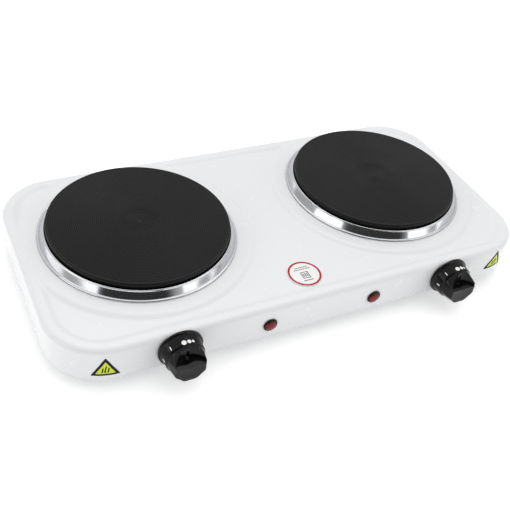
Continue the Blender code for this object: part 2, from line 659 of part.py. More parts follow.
def flute(name, i, axis):
    """Cutter for a shallow flute that runs out in an arch just in front of the skirt."""
    half_width = KNOB_END_RADIUS * math.sin(math.pi / FLUTES)
    radius = (half_width**2 + FLUTE_SAG**2) / (2 * FLUTE_SAG)
    floor = KNOB_END_RADIUS * math.cos(math.pi / FLUTES) - FLUTE_SAG
    reach = KNOB_LENGTH - KNOB_SKIRT_HEIGHT
    lean = math.atan((KNOB_GRIP_RADIUS - floor) / (reach - KNOB_SHOULDER))
    spot = Matrix.Rotation(FACING_FRONT[0], 4, "X") @ Matrix.Rotation(math.tau * i / FLUTES, 4, "Z")
    spot = spot @ Matrix.Translation((0, floor, KNOB_LENGTH)) @ Matrix.Rotation(lean, 4, "X")
    spot = spot @ Matrix.Translation((0, radius, 0))
    return rod(
        name, radius, FLUTE_SKIRT_GAP - reach, FLUTE_OVERRUN, steps=MID_STEPS, at=spot.translation,
        turn=spot.to_euler(), parent=axis,
    )


def thermostat(side, sign):
    """Switch body on its plate behind the front wall, with tabs for the wires."""
    place = dict(at=(sign * KNOB_X, FRONT_INSIDE + GAP, KNOB_Z))
    sheet, depth = THERMOSTAT_PLATE_SHEET, THERMOSTAT_DEPTH
    body = box(
        f"thermostat_{side}", (THERMOSTAT_PLATE_WIDTH, sheet, THERMOSTAT_PLATE_HEIGHT), "steatite",
        centre=(0, sheet / 2, 0), **place,
    )
    block = box(
        f"thermostat_block_{side}", (THERMOSTAT_WIDTH, depth, THERMOSTAT_HEIGHT),
        centre=(0, sheet + depth / 2 - GAP, 0), **place,
    )
    combine(body, block, "UNION")
    back = sheet + depth
    for tag, x in (("outer", sign * TAB_PITCH / 2), ("inner", -sign * TAB_PITCH / 2)):
        size = (TAB_SIZE.x, TAB_SIZE.y + 2 * GAP, TAB_SIZE.z)
        tab = box(f"tab_{side}_{tag}", size, centre=(x, back + TAB_SIZE.y / 2 - 2 * GAP, 0), **place)
        combine(body, tab, "UNION")
    lamp_tab = box(
        f"lamp_tab_{side}", (TAB_SIZE.y, TAB_SIZE.x, TAB_SIZE.z),
        centre=(-sign * (THERMOSTAT_WIDTH / 2 + TAB_SIZE.y / 2 - GAP), back - TAB_SIZE.x, 0), **place,
    )
    combine(body, lamp_tab, "UNION")
    bore = rod(
        f"thermostat_bore_{side}", SHAFT_RADIUS + SHAFT_FIT, -SHAFT_DEPTH - SHAFT_FIT, CUT,
        at=(sign * KNOB_X, FRONT, KNOB_Z), turn=FACING_FRONT,
    )
    combine(body, bore)
    for tag, offset in (("inner", -sign), ("outer", sign)):
        at = (sign * KNOB_X + offset * THERMOSTAT_SCREW_PITCH / 2, FRONT - GAP, KNOB_Z)
        hole = rod(
            f"plate_screw_hole_{side}_{tag}", SCREW_RADIUS + SCREW_CLEARANCE,
            -THERMOSTAT_SCREW_LENGTH - SCREW_CLEARANCE, CUT, at=at, turn=FACING_FRONT,
        )
        combine(body, hole)
        screw(f"thermostat_screw_{side}_{tag}", THERMOSTAT_SCREW_LENGTH, at=at, turn=FACING_FRONT)


def control(side, sign):
    axis = bpy.data.objects.new(f"knob_axis_{side}", None)
    axis.parent = ROOT
    axis.location = (sign * KNOB_X, FRONT, KNOB_Z)
    PARTS.objects.link(axis)
    knob(side, axis)
    flatted_rod(
        f"knob_shaft_{side}", SHAFT_RADIUS, SHAFT_FLAT, -SHAFT_DEPTH, SHAFT_REACH, "zinc_screw",
        parent=axis, turn=FACING_FRONT,
    )
    thermostat(side, sign)


def pilot_lamp(side, sign):
    """Bezel pushed through the front wall, with a domed lens in it."""
    place = dict(at=(sign * LAMP_SPACING / 2, FRONT, LAMP_Z), turn=FACING_FRONT)
    bore = LENS_RADIUS + GAP
    barrel = bore + BEZEL_WALL
    face = GAP + BEZEL_THICKNESS
    bezel = [
        (bore, face), (BEZEL_RADIUS - BEZEL_CHAMFER, face), (BEZEL_RADIUS, face - BEZEL_CHAMFER),
        (BEZEL_RADIUS, GAP), (barrel, GAP),
        (barrel, -LAMP_BARREL), (bore, -LAMP_BARREL),
    ]
    turned(f"lamp_bezel_{side}", bezel, "black_phenolic", steps=20, loop=True, **place)
    dome = [(0, LENS_RISE)]
    for step in range(1, LENS_STEPS + 1):
        angle = math.radians(90) * step / LENS_STEPS
        dome.append((LENS_RADIUS * math.sin(angle), face + (LENS_RISE - face) * math.cos(angle)))
    lens = [*dome, (LENS_RADIUS, LENS_RISE - LENS_LENGTH), (0, LENS_RISE - LENS_LENGTH)]
    turned(f"lamp_lens_{side}", lens, "red_lens", steps=20, **place)


def rear_fittings():
    place = dict(at=(0, REAR, BUSH_Z), turn=FACING_REAR)
    bush = [
        (BUSH_BORE_RADIUS, BUSH_OUTSIDE), (BUSH_FLANGE_RADIUS - BUSH_CHAMFER, BUSH_OUTSIDE),
        (BUSH_FLANGE_RADIUS, BUSH_OUTSIDE - BUSH_CHAMFER), (BUSH_FLANGE_RADIUS, GAP),
        (BUSH_BARREL_RADIUS, GAP), (BUSH_BARREL_RADIUS, -BUSH_INSIDE), (BUSH_BORE_RADIUS, -BUSH_INSIDE),
    ]
    turned("cord_bush", bush, "black_rubber", steps=20, loop=True, **place)
    block = box("terminal_block", BLOCK_SIZE, "steatite", at=(0, BLOCK_Y, BLOCK_Z))
    for way in range(BLOCK_WAYS):
        x = (way - (BLOCK_WAYS - 1) / 2) * BLOCK_PITCH
        bore = rod(
            f"way_{way}", WAY_RADIUS, -BLOCK_SIZE.y / 2 - CUT, BLOCK_SIZE.y / 2 + CUT,
            at=(x, BLOCK_Y, BLOCK_Z), turn=FACING_FRONT,
        )
        combine(block, bore)
    foot = BASE_TOP + GAP
    stud = [
        (0, foot + EARTH_STUD_HEIGHT), (EARTH_STUD_RADIUS, foot + EARTH_STUD_HEIGHT),
        (EARTH_STUD_RADIUS, foot + EARTH_COLLAR_HEIGHT), (EARTH_COLLAR_RADIUS, foot + EARTH_COLLAR_HEIGHT),
        (EARTH_COLLAR_RADIUS, foot), (0, foot),
    ]
    turned("earth_stud", stud, "brass", steps=SMALL_STEPS, at=(0, EARTH_Y, 0))


def smooth_route(points):
    """Points at about WIRE_STEP on a Catmull-Rom curve through the route's own points."""
    knots = [Vector(p) for p in points]
    knots = [2 * knots[0] - knots[1], *knots, 2 * knots[-1] - knots[-2]]
    route = []
    for a, b, c, d in zip(knots, knots[1:], knots[2:], knots[3:]):
        steps = max(1, round((c - b).length / WIRE_STEP))
        for i in range(steps):
            t = i / steps
            route.append(
                b + (c - a) * (t / 2) + (2 * a - 5 * b + 4 * c - d) * (t * t / 2)
                + (3 * b - a - 3 * c + d) * (t**3 / 2)
            )
    return [*route, knots[-2]]


def wire(name, points, look="wire_sleeve", radius=WIRE_RADIUS):
    curve = bpy.data.curves.new(name, "CURVE")
    curve.dimensions = "3D"
    curve.bevel_depth = radius
    curve.bevel_resolution = 2
    curve.use_fill_caps = True
    route = smooth_route(points)
    spline = curve.splines.new("POLY")
    spline.points.add(len(route) - 1)
    for place, point in zip(spline.points, route):
        place.co = (*point, 1)
    add(name, curve, look)


def wiring(side, sign):
    """Live from the block to the thermostat, load from there to the element, and neutral back to the block.

    The points between the straight ends are chosen by hand, clear of the shields, the studs and each other.
    """
    back = FRONT_INSIDE + GAP + THERMOSTAT_PLATE_SHEET + THERMOSTAT_DEPTH
    tab_end = back + TAB_SIZE.y + GAP
    outer_tab = sign * (KNOB_X + TAB_PITCH / 2)
    inner_tab = sign * (KNOB_X - TAB_PITCH / 2)
    block_face = BLOCK_Y - BLOCK_SIZE.y / 2 - GAP
    low = BASE_TOP + GAP + 2 * WIRE_RADIUS
    pin_x = sign * (PLATE_X - CERAMIC_OFFSET - CERAMIC_LENGTH / 2 - PIN_LENGTH - GAP)
    wall_x = sign * (PLATE_X - SHIELD_WALL)
    front_row = PLATE_BACKSET - PIN_PITCH / 2
    rear_row = PLATE_BACKSET + PIN_PITCH / 2
    wire(f"live_lead_{side}", [
        (outer_tab, tab_end, KNOB_Z), (outer_tab, tab_end + WIRE_START, KNOB_Z - 0.001),
        (outer_tab - sign * 0.003, tab_end + 0.012, low), (outer_tab - sign * 0.030, tab_end + 0.030, low),
        (sign * 0.066, PLATE_BACKSET - 0.030, low), (sign * 0.028, PLATE_BACKSET, low),
        (sign * BLOCK_PITCH, block_face - 0.022, low),
        (sign * BLOCK_PITCH, block_face - 2 * WIRE_START, BLOCK_Z), (sign * BLOCK_PITCH, block_face, BLOCK_Z),
    ])
    wire(f"load_lead_{side}", [
        (inner_tab, tab_end, KNOB_Z), (inner_tab, tab_end + WIRE_START, KNOB_Z - 0.001),
        (inner_tab - sign * 0.005, tab_end + 0.009, low), (inner_tab - sign * 0.040, tab_end + 0.011, low),
        (sign * 0.034, PLATE_BACKSET - 0.062, low), (sign * 0.022, PLATE_BACKSET - 0.034, low + 0.006),
        (wall_x - sign * 0.012, front_row - 0.004, PIN_HEIGHT), (wall_x, front_row, PIN_HEIGHT),
        (pin_x - sign * WIRE_START, front_row, PIN_HEIGHT), (pin_x, front_row, PIN_HEIGHT),
    ])
    wire(f"neutral_lead_{side}", [
        (pin_x, rear_row, PIN_HEIGHT), (pin_x - sign * WIRE_START, rear_row, PIN_HEIGHT),
        (wall_x, rear_row, PIN_HEIGHT), (wall_x - sign * 0.012, rear_row + 0.006, PIN_HEIGHT - 0.001),
        (sign * 2 * BLOCK_PITCH, block_face - 0.020, BLOCK_Z + 0.002),
        (sign * 2 * BLOCK_PITCH, block_face - 2 * WIRE_START, BLOCK_Z),
        (sign * 2 * BLOCK_PITCH, block_face, BLOCK_Z),
    ])
    lamp_x = sign * LAMP_SPACING / 2
    lamp_end = FRONT + LAMP_BARREL + GAP
    tab_x = sign * (KNOB_X - THERMOSTAT_WIDTH / 2 - TAB_SIZE.y)
    tab_y = back - TAB_SIZE.x
    wire(f"lamp_lead_{side}", [
        (lamp_x, lamp_end, LAMP_Z), (lamp_x, lamp_end + WIRE_START, LAMP_Z),
        (lamp_x + sign * 0.012, lamp_end + 0.008, LAMP_Z - 0.002), (tab_x - sign * 0.014, tab_y, LAMP_Z),
        (tab_x - sign * WIRE_START, tab_y, KNOB_Z), (tab_x, tab_y, KNOB_Z),
    ], radius=LAMP_WIRE_RADIUS)


def earth_wire():
    block_face = BLOCK_Y - BLOCK_SIZE.y / 2 - GAP
    height = BASE_TOP + 2 * GAP + EARTH_COLLAR_HEIGHT + WIRE_RADIUS
    end = EARTH_Y + EARTH_STUD_RADIUS + GAP
    wire("earth_lead", [
        (0, block_face, BLOCK_Z), (0, block_face - WIRE_START, BLOCK_Z), (0, end + 0.006, height + 0.001),
        (0, end, height),
    ], look="earth_sleeve")


def labels():
    label_y = FRONT + ROUND_LABEL_PLACE[1]
    seat = DECK - RECESS_DEPTH + GAP
    rod(
        "round_label", ROUND_LABEL_RADIUS, seat, seat + LABEL_THICKNESS, "label_paper", steps=MID_STEPS,
        at=(ROUND_LABEL_PLACE[0], label_y, 0),
    )
    inner = CORNER_RADIUS + GAP
    outer = inner + LABEL_THICKNESS
    reach = HOT_LABEL_SIDE / math.sqrt(3)       # from the triangle's centre to a corner
    for side, sign in SIDES.items():
        low = SHELL_BOTTOM + SHELL_HEIGHT / 2 + HOT_LABEL_LIFT[side] - 0.75 * reach
        middle = low + reach / 2
        band = [(inner, low + 2 * reach), (outer, low + 2 * reach), (outer, low - CUT), (inner, low - CUT)]
        corner = (sign * (BODY_LENGTH / 2 - CORNER_RADIUS), FRONT + CORNER_RADIUS, 0)
        label = turned(f"hot_label_{side}", band, "label_yellow", steps=BIG_STEPS, loop=True, at=corner)
        angle = HOT_LABEL_ARC[side] / CORNER_RADIUS
        prism = rod(
            f"triangle_{side}", reach, inner - 5 * CUT, outer + CUT, steps=3,
            at=(corner[0], corner[1], middle), turn=(math.radians(90), 0, sign * angle),
        )
        combine(label, prism, "INTERSECT")


def build():
    top_shell()
    bottom_plate()
    feet()
    for side, sign in SIDES.items():
        plate_unit(side, sign)
        control(side, sign)
        pilot_lamp(side, sign)
        wiring(side, sign)
    rear_fittings()
    earth_wire()
    labels()


build()
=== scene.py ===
"""Looks of a double electric hot plate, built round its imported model.

Metres, +Z up, front towards -Y. The shell, plates, rings, knobs, lamps, labels, feet and cord bush
are modelled here in their fine form. The pieces that stay as they are get their finish here.
"""

import json
import math

import bmesh
import bpy
from bpy.props import FloatProperty, FloatVectorProperty, PointerProperty
from mathutils import Matrix, Vector


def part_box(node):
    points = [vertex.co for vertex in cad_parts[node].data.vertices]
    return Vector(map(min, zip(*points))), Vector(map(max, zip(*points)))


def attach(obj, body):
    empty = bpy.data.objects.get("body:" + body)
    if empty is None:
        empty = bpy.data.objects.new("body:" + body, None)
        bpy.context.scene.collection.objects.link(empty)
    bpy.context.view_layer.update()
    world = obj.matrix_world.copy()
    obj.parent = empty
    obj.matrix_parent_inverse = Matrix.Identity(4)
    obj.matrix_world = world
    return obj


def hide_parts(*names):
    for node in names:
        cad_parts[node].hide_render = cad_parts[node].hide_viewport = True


bl_info = {
    "name": "Double hot plate",
    "version": (1, 0, 0),
    "blender": (4, 5, 0),
    "location": "View3D > Sidebar > Hot plate",
    "description": "Builds the visible pieces and finishes of a double electric hot plate",
    "category": "Object",
}

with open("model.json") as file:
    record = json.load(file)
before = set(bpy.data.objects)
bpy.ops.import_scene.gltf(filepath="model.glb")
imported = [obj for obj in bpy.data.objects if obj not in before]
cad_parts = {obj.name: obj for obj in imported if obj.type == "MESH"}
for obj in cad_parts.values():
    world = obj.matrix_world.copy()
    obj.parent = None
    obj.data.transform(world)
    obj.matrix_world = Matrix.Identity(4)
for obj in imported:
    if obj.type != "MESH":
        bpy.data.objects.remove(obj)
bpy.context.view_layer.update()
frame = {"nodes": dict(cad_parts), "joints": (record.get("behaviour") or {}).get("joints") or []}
NODES = frame["nodes"]
SIDES = {"left": -1, "right": 1}
FACING_FRONT = Matrix.Rotation(math.radians(90), 4, "X")    # turns +Z to the front, +Y up
FACING_REAR = Matrix.Rotation(math.radians(-90), 4, "X")
MM = 0.001


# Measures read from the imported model

def measured(node):
    low, high = (Vector(corner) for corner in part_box(node))
    return low, high, (low + high) / 2


BOXES = {name: measured(name) for name in NODES}


def box(node):
    """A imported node's low corner, high corner and middle."""
    return BOXES[node]


def knob_axis(side):
    """Where the knob's axis meets the front wall."""
    place = next(j["pos_m"] for j in frame["joints"] if j["child"] == f"knob_{side}")
    return Vector(place)


SHELL_LOW, SHELL_HIGH, SHELL_MIDDLE = box("top_shell")
DECK = SHELL_HIGH.z
FRONT = SHELL_LOW.y
REAR = SHELL_HIGH.y


def linear(code):
    """An sRGB hex colour as linear values."""
    channels = [int(code[i:i + 2], 16) / 255 for i in (1, 3, 5)]
    return tuple(c / 12.92 if c <= 0.04045 else ((c + 0.055) / 1.055) ** 2.4 for c in channels)


def length(name, description, default):
    return FloatProperty(
        name=name, description=description, default=default, unit="LENGTH", precision=5, min=0
    )


def colour(name, description, code):
    return FloatVectorProperty(
        name=name, description=description, default=linear(code), size=3, subtype="COLOR", min=0, max=1
    )


class HotPlateSizes(bpy.types.PropertyGroup):
    corner: length("Corner radius", "Upright corners of the shell", 0.047)
    top_edge: length("Top edge radius", "Rounding between deck and walls", 0.0045)
    sheet: length("Sheet", "Thickness of the shell's steel", 0.0008)
    border: length("Border", "Raised border round the sunk deck", 0.008)
    recess: length("Recess", "Depth of the sunk deck", 0.0018)
    step: length("Step", "Width of the pressed step", 0.0065)
    pad: length("Pad", "Round pad beyond the trim ring", 0.011)
    opening: length("Plate opening", "Radius of the deck's hole under a plate", 0.074)
    groove_pitch: length("Groove pitch", "From one turned groove of a plate to the next", 0.0017)
    groove_depth: length("Groove depth", "Depth of the turned grooves", 0.00032)
    dish: length("Dish radius", "Sunk centre of a plate", 0.020)
    dish_depth: length("Dish depth", "How far the centre of a plate is sunk", 0.0009)
    mark: length("Mark length", "Length of the bars on the knobs", 0.0034)
    ring_sheet: length("Ring sheet", "Thickness of the trim rings", 0.0005)


class HotPlateColours(bpy.types.PropertyGroup):
    enamel: colour("Enamel", "Shell", "#eaebec")
    iron: colour("Iron", "Coated cast iron", "#0a0a0b")
    steel: colour("Stainless", "Polished trim rings", "#d4d5d8")
    phenolic: colour("Phenolic", "Knobs and lamp bezels", "#070708")
    print_white: colour("White print", "Marks on the knobs", "#f2f2ee")
    lens: colour("Lens", "Pilot lamps", "#8e0414")
    yellow: colour("Yellow", "Corner labels", "#cede12")
    red: colour("Red", "Ring on the round label", "#b81c30")
    rubber: colour("Rubber", "Feet and cord bush", "#17171a")


def sizes():
    return bpy.context.scene.hot_plate_sizes


def colours():
    return bpy.context.scene.hot_plate_colours


# Nodes and materials

def add_node(tree, kind, inputs=None, **settings):
    """A node with its settings, its inputs given as values or as other nodes' outputs."""
    node = tree.nodes.new(kind)
    for name, value in settings.items():
        setattr(node, name, value)
    for socket, value in (inputs or {}).items():
        if isinstance(value, bpy.types.NodeSocket):
            tree.links.new(value, node.inputs[socket])
        else:
            node.inputs[socket].default_value = value
    return node


class Finish:
    """A material being made: its tree, its shader and Object coordinates in metres."""

    def __init__(self, name, base, roughness, metallic=0.0, **shader_values):
        self.material = bpy.data.materials.new(name)
        self.material.use_nodes = True
        self.tree = self.material.node_tree
        self.shader = self.tree.nodes["Principled BSDF"]
        self.coords = add_node(self.tree, "ShaderNodeTexCoord").outputs["Object"]
        self.base = (*base, 1)
        self.shader.inputs["Base Color"].default_value = self.base
        self.shader.inputs["Roughness"].default_value = roughness
        self.shader.inputs["Metallic"].default_value = metallic
        for socket, value in shader_values.items():
            self.shader.inputs[socket.replace("_", " ")].default_value = value

    def noise(self, size, detail=2.0, coords=None, roughness=0.5, distortion=0.0):
        """Noise whose features are about this size, in metres."""
        node = add_node(self.tree, "ShaderNodeTexNoise", {
            "Vector": coords or self.coords, "Scale": 1 / size, "Detail": detail, "Roughness": roughness,
            "Distortion": distortion,
        })
        return node.outputs["Fac"]

    def spread(self, value, low, high, start=0.3, end=0.7):
        """The value from start to end, mapped to low to high."""
        node = add_node(self.tree, "ShaderNodeMapRange", {
            "Value": value, "From Min": start, "From Max": end, "To Min": low, "To Max": high,
        })
        return node.outputs["Result"]

    def mix(self, factor, a, b):
        node = add_node(self.tree, "ShaderNodeMix", {0: factor, 6: a, 7: b}, data_type="RGBA")
        return node.outputs[2]

    def shade(self, share):
        """The base colour made darker or lighter by a share."""
        return (*[min(1.0, c * share) for c in self.base[:3]], 1)

    def math(self, operation, a, b=0.0):
        return add_node(self.tree, "ShaderNodeMath", {0: a, 1: b}, operation=operation).outputs[0]

    def centred(self, place, turn=(0, 0, 0), scale=(1, 1, 1)):
        """Object coordinates measured from a place."""
        node = add_node(self.tree, "ShaderNodeMapping", {
            "Vector": self.coords, "Location": place, "Rotation": turn, "Scale": scale,
        }, vector_type="TEXTURE")
        return node.outputs["Vector"]

    def radius(self, coords):
        """Distance from the coordinates' Z axis."""
        flat = add_node(self.tree, "ShaderNodeVectorMath", {0: coords, 1: (1, 1, 0)}, operation="MULTIPLY")
        reach = add_node(self.tree, "ShaderNodeVectorMath", {0: flat.outputs[0]}, operation="LENGTH")
        return reach.outputs["Value"]

    def link(self, socket, value):
        self.tree.links.new(value, self.shader.inputs[socket])

    def tint(self, value, share, *ends):
        """Mixes the base colour towards one darker or lighter by a share, as the value rises."""
        self.link("Base Color", self.mix(self.spread(value, *(ends or (0, 1))), self.base, self.shade(share)))

    def gloss(self, value, low, high, *ends):
        """Roughness from low to high as the value rises."""
        self.link("Roughness", self.spread(value, low, high, *ends))

    def bump(self, height, distance, strength=1.0, under=None):
        """Adds a height, in metres, to the surface, over an earlier bump if there is one."""
        inputs = {"Height": height, "Distance": distance, "Strength": strength}
        if under:
            inputs["Normal"] = under
        made = add_node(self.tree, "ShaderNodeBump", inputs).outputs["Normal"]
        self.link("Normal", made)
        return made


def white_enamel():
    """Vitreous enamel fired on pressed steel: white, glossy, with a faint orange-peel ripple."""
    f = Finish("white_enamel", colours().enamel, 0.25, Specular_IOR_Level=0.4)
    patch = f.noise(60 * MM, 3)
    f.tint(patch, 0.985)
    f.gloss(f.noise(9 * MM, 3), 0.22, 0.28)
    ripple = f.bump(f.noise(6 * MM, 1), 0.006 * MM, 0.2)
    f.bump(f.noise(0.9 * MM, 1), 0.001 * MM, 0.2, under=ripple)
    return f.material


def coated_iron(side, centre):
    """Grey iron, turned, with a baked matt black coat: fine casting grain, and a painted highlight that makes
    the ridge tops a little paler than the grooves.
    """
    f = Finish(f"coated_iron_{side}", colours().iron, 0.36, Specular_IOR_Level=0.17)
    coords = f.centred(centre)
    grain = f.noise(0.8 * MM, 4, coords, 0.6)
    smear = f.noise(28 * MM, 3, coords)
    tone = f.mix(f.spread(smear, 0, 1), f.base, f.shade(1.6))
    height = add_node(f.tree, "ShaderNodeSeparateXYZ", {0: coords}).outputs["Z"]
    # Painted highlight, not wear: rubbed and worn paint the colour paler towards the ridge tops and darker
    # down in the grooves and the sunk centre, broken up by the grain.
    rubbed = f.spread(height, 0.25, 0.6, -sizes().groove_depth, 0)
    worn = f.mix(f.math("MULTIPLY", rubbed, f.spread(grain, 0.4, 1)), tone, f.shade(2.8))
    f.link("Base Color", f.mix(f.spread(grain, 0, 0.4), worn, f.shade(0.7)))
    f.gloss(smear, 0.28, 0.4)
    rough = f.bump(grain, 0.04 * MM, 0.35)
    f.bump(f.noise(4 * MM, 2, coords), 0.03 * MM, 0.25, under=rough)
    return f.material


def polished_stainless(side, centre):
    """Stainless strip, spun and polished: bright, a little smudged, with faint lines round the ring."""
    f = Finish(f"polished_stainless_{side}", colours().steel, 0.1, 1.0)
    coords = f.centred(centre)
    radius = f.radius(coords)
    line = f.noise(0.8 * MM, 2, add_node(f.tree, "ShaderNodeCombineXYZ", {"X": radius}).outputs[0])
    smudge = f.noise(22 * MM, 3, coords)
    f.link("Roughness", f.math("ADD", f.spread(smudge, 0.07, 0.12), f.spread(line, 0.0, 0.03)))
    f.tint(smudge, 0.93)
    f.bump(line, 0.001 * MM, 0.2)
    return f.material


def black_phenolic(name="black_phenolic", base=None, roughness=0.15):
    """Compression-moulded phenolic: near black, glossy from a polished tool, with slight flow ripple."""
    f = Finish(name, base or colours().phenolic, roughness, Specular_IOR_Level=0.2)
    f.gloss(f.noise(6 * MM, 3), roughness - 0.08, roughness + 0.06)
    flow = f.noise(10 * MM, 2)
    f.tint(flow, 1.5)
    ripple = f.bump(f.noise(3.5 * MM, 2), 0.03 * MM, 0.3)
    f.bump(f.noise(0.5 * MM, 2), 0.006 * MM, 0.3, under=ripple)
    return f.material


def printed_ink(name, base, roughness=0.4):
    """Pad-printed ink: even, a little porous, very slightly worn."""
    f = Finish(name, base, roughness, Specular_IOR_Level=0.2)
    wear = f.noise(0.7 * MM, 3)
    f.tint(wear, 0.72, 0, 0.25, 0.55, 0.8)
    f.gloss(wear, roughness - 0.08, roughness + 0.12)
    f.bump(wear, 0.01 * MM, 0.3)
    return f.material


def lens_red():
    """Injection-moulded clear red polycarbonate: deep red and glossy, with painted shade along the edges of
    its facets.
    """
    f = Finish(
        "lens_red", colours().lens, 0.1, Specular_IOR_Level=0.25,
        Subsurface_Weight=0.15, Subsurface_Scale=0.001,
    )
    facets = {"Vector": f.coords, "Scale": 1 / (1.1 * MM)}
    cells = add_node(f.tree, "ShaderNodeTexVoronoi", facets, feature="DISTANCE_TO_EDGE").outputs["Distance"]
    # Painted shade: the colour darkens towards the edges of the facets.
    f.link("Base Color", f.mix(f.spread(cells, 0, 1, 0.02, 0.3), f.shade(0.45), f.base))
    f.gloss(f.noise(2 * MM, 2), 0.08, 0.16)
    f.bump(cells, 0.05 * MM, 0.3)
    return f.material


def black_rubber():
    """Moulded nitrile rubber: dull black with a fine matt grain and a trace of grey bloom."""
    f = Finish("black_rubber", colours().rubber, 0.75, Specular_IOR_Level=0.35)
    bloom = f.noise(7 * MM, 4)
    f.tint(bloom, 2.2, 0, 0.6)
    f.gloss(bloom, 0.68, 0.88)
    f.bump(f.noise(0.35 * MM, 3), 0.02 * MM, 0.5)
    return f.material


def galvanised_steel():
    """Hot-dip galvanised sheet: pale grey zinc with frost-like spangles about a centimetre across."""
    f = Finish("galvanised_steel", linear("#a9adb0"), 0.4, 1.0)
    warped = f.noise(20 * MM, 2)
    cells = add_node(f.tree, "ShaderNodeTexVoronoi", {"Vector": f.coords, "Scale": 1 / (9 * MM)})
    spangle = add_node(f.tree, "ShaderNodeSeparateColor", {0: cells.outputs["Color"]}).outputs[0]
    f.link("Base Color", f.mix(f.math("MULTIPLY", spangle, warped), f.base, f.shade(0.62)))
    f.gloss(spangle, 0.3, 0.52, 0, 1)
    f.bump(f.noise(1.5 * MM, 3), 0.01 * MM, 0.4)
    return f.material


def plain_metal(name, code, roughness, mottle, size):
    """Small metal parts: even metal with a mottled finish of this size, rubbed brighter in places."""
    f = Finish(name, linear(code), roughness, 1.0)
    cloud = f.noise(size, 4)
    f.link("Base Color", f.mix(f.spread(cloud, 0, 1), f.base, (*linear(mottle), 1)))
    f.gloss(cloud, roughness - 0.08, roughness + 0.14)
    f.bump(f.noise(0.4 * MM, 2), 0.006 * MM, 0.4)
    return f.material


def zinc_plate():
    """Steel screws, studs and shafts with bright zinc plating, slightly blue where it is thick."""
    return plain_metal("zinc_plate", "#b9bcc2", 0.28, "#a0a6b4", 3 * MM)


def brass():
    """Turned brass, a little tarnished."""
    return plain_metal("brass", "#c9a35a", 0.3, "#9c7a3c", 4 * MM)


def magnesia():
    """Pressed magnesia round the heating coil: chalky, off-white, with grit and hairline cracks."""
    f = Finish("magnesia", linear("#cfc7b8"), 0.9)
    grit = f.noise(0.8 * MM, 5)
    f.link("Base Color", f.mix(f.spread(grit, 0, 1), f.shade(0.8), f.base))
    f.gloss(grit, 0.82, 0.95)
    f.bump(grit, 0.15 * MM, 0.6)
    return f.material


def steatite():
    """Unglazed steatite: cream, dense and smooth, with a fine pressed texture."""
    f = Finish("steatite", linear("#e2dccd"), 0.5)
    cloud = f.noise(5 * MM, 3)
    f.tint(cloud, 0.88)
    f.gloss(cloud, 0.42, 0.6)
    f.bump(f.noise(0.3 * MM, 2), 0.01 * MM, 0.5)
    return f.material


def braided_sleeve(name, first, second, pitch):
    """Braided glass sleeve over the wires, its two strands crossing at this pitch."""
    f = Finish(name, linear(first), 0.7)
    strands = []
    for coords in (f.coords, f.centred((0, 0, 0), scale=(-1, 1, 1))):
        wave = add_node(
            f.tree, "ShaderNodeTexWave", {"Vector": coords, "Scale": 0.3 / pitch},
            wave_type="BANDS", bands_direction="DIAGONAL",
        )
        strands.append(wave.outputs["Fac"])
    braid = f.math("MAXIMUM", *strands)
    f.link("Base Color", f.mix(braid, (*linear(second), 1), f.base))
    f.gloss(braid, 0.62, 0.8, 0, 1)
    f.bump(braid, 0.1 * MM, 0.6)
    return f.material


def label_film(name, base, roughness=0.35):
    """Printed polyester film: even colour under a smooth clear face, with slight waviness from the glue."""
    f = Finish(name, base, roughness, Coat_Weight=0.1, Coat_Roughness=0.15)
    tone = f.noise(6 * MM, 3)
    f.tint(tone, 0.94)
    f.gloss(tone, roughness - 0.06, roughness + 0.08)
    f.bump(f.noise(3 * MM, 2), 0.02 * MM, 0.3)
    return f.material


def brushed_label():
    """Brushed aluminium foil label with a dark frame and blank lines."""
    low, high, middle = box("rating_plate")
    f = Finish("brushed_label", linear("#b4b7ba"), 0.35, 1.0)
    coords = f.centred(middle)
    strokes = f.noise(0.5 * MM, 3, f.centred(middle, scale=(30, 1, 1)))
    split = add_node(f.tree, "ShaderNodeSeparateXYZ", {0: coords})
    size = high - low
    across = f.math("ABSOLUTE", split.outputs["X"])
    along = f.math("ABSOLUTE", split.outputs["Y"])
    margin, line = 2.5 * MM, 0.6 * MM
    past_x = f.math("SUBTRACT", across, size.x / 2 - margin)
    edge = f.math("MAXIMUM", past_x, f.math("SUBTRACT", along, size.y / 2 - margin))
    rule = f.math("LESS_THAN", f.math("ABSOLUTE", edge), line / 2)
    swing = f.math("PINGPONG", f.math("ADD", split.outputs["Y"], size.y), 3.5 * MM)
    row = f.math("LESS_THAN", swing, line / 3)
    inside = f.math("LESS_THAN", edge, -line)
    ink = f.math("MAXIMUM", rule, f.math("MULTIPLY", row, inside))
    f.link("Base Color", f.mix(ink, f.base, (*linear("#26282b"), 1)))
    f.gloss(strokes, 0.28, 0.45)
    f.bump(strokes, 0.01 * MM, 0.4)
    return f.material


def studio_floor():
    """Seamless matt paper with a slight fibre mottle. It glows a little, so that it reads as white."""
    f = Finish("studio_floor", linear("#f4f4f4"), 0.85, Emission_Strength=0.42)
    f.shader.inputs["Emission Color"].default_value = (1, 1, 1, 1)
    f.material.cycles.emission_sampling = "NONE"
    fibre = f.noise(4 * MM, 3)
    f.tint(fibre, 0.985)
    f.bump(fibre, 0.05 * MM, 0.1)
    return f.material


def dress(material, *nodes):
    """Gives carried-over nodes this finish."""
    for name in nodes:
        data = NODES[name].data
        data.materials.clear()
        data.materials.append(material)


def nodes_named(start):
    return [name for name in NODES if name.startswith(start)]


# Modelling

def profile_points(bm, points, matrix):
    """An open outline of (radius, height) points in the matrix's XZ plane, ready to spin."""
    verts = [bm.verts.new(matrix @ Vector((radius, 0, height))) for radius, height in points]
    edges = [bm.edges.new(pair) for pair in zip(verts, verts[1:])]
    return verts + edges


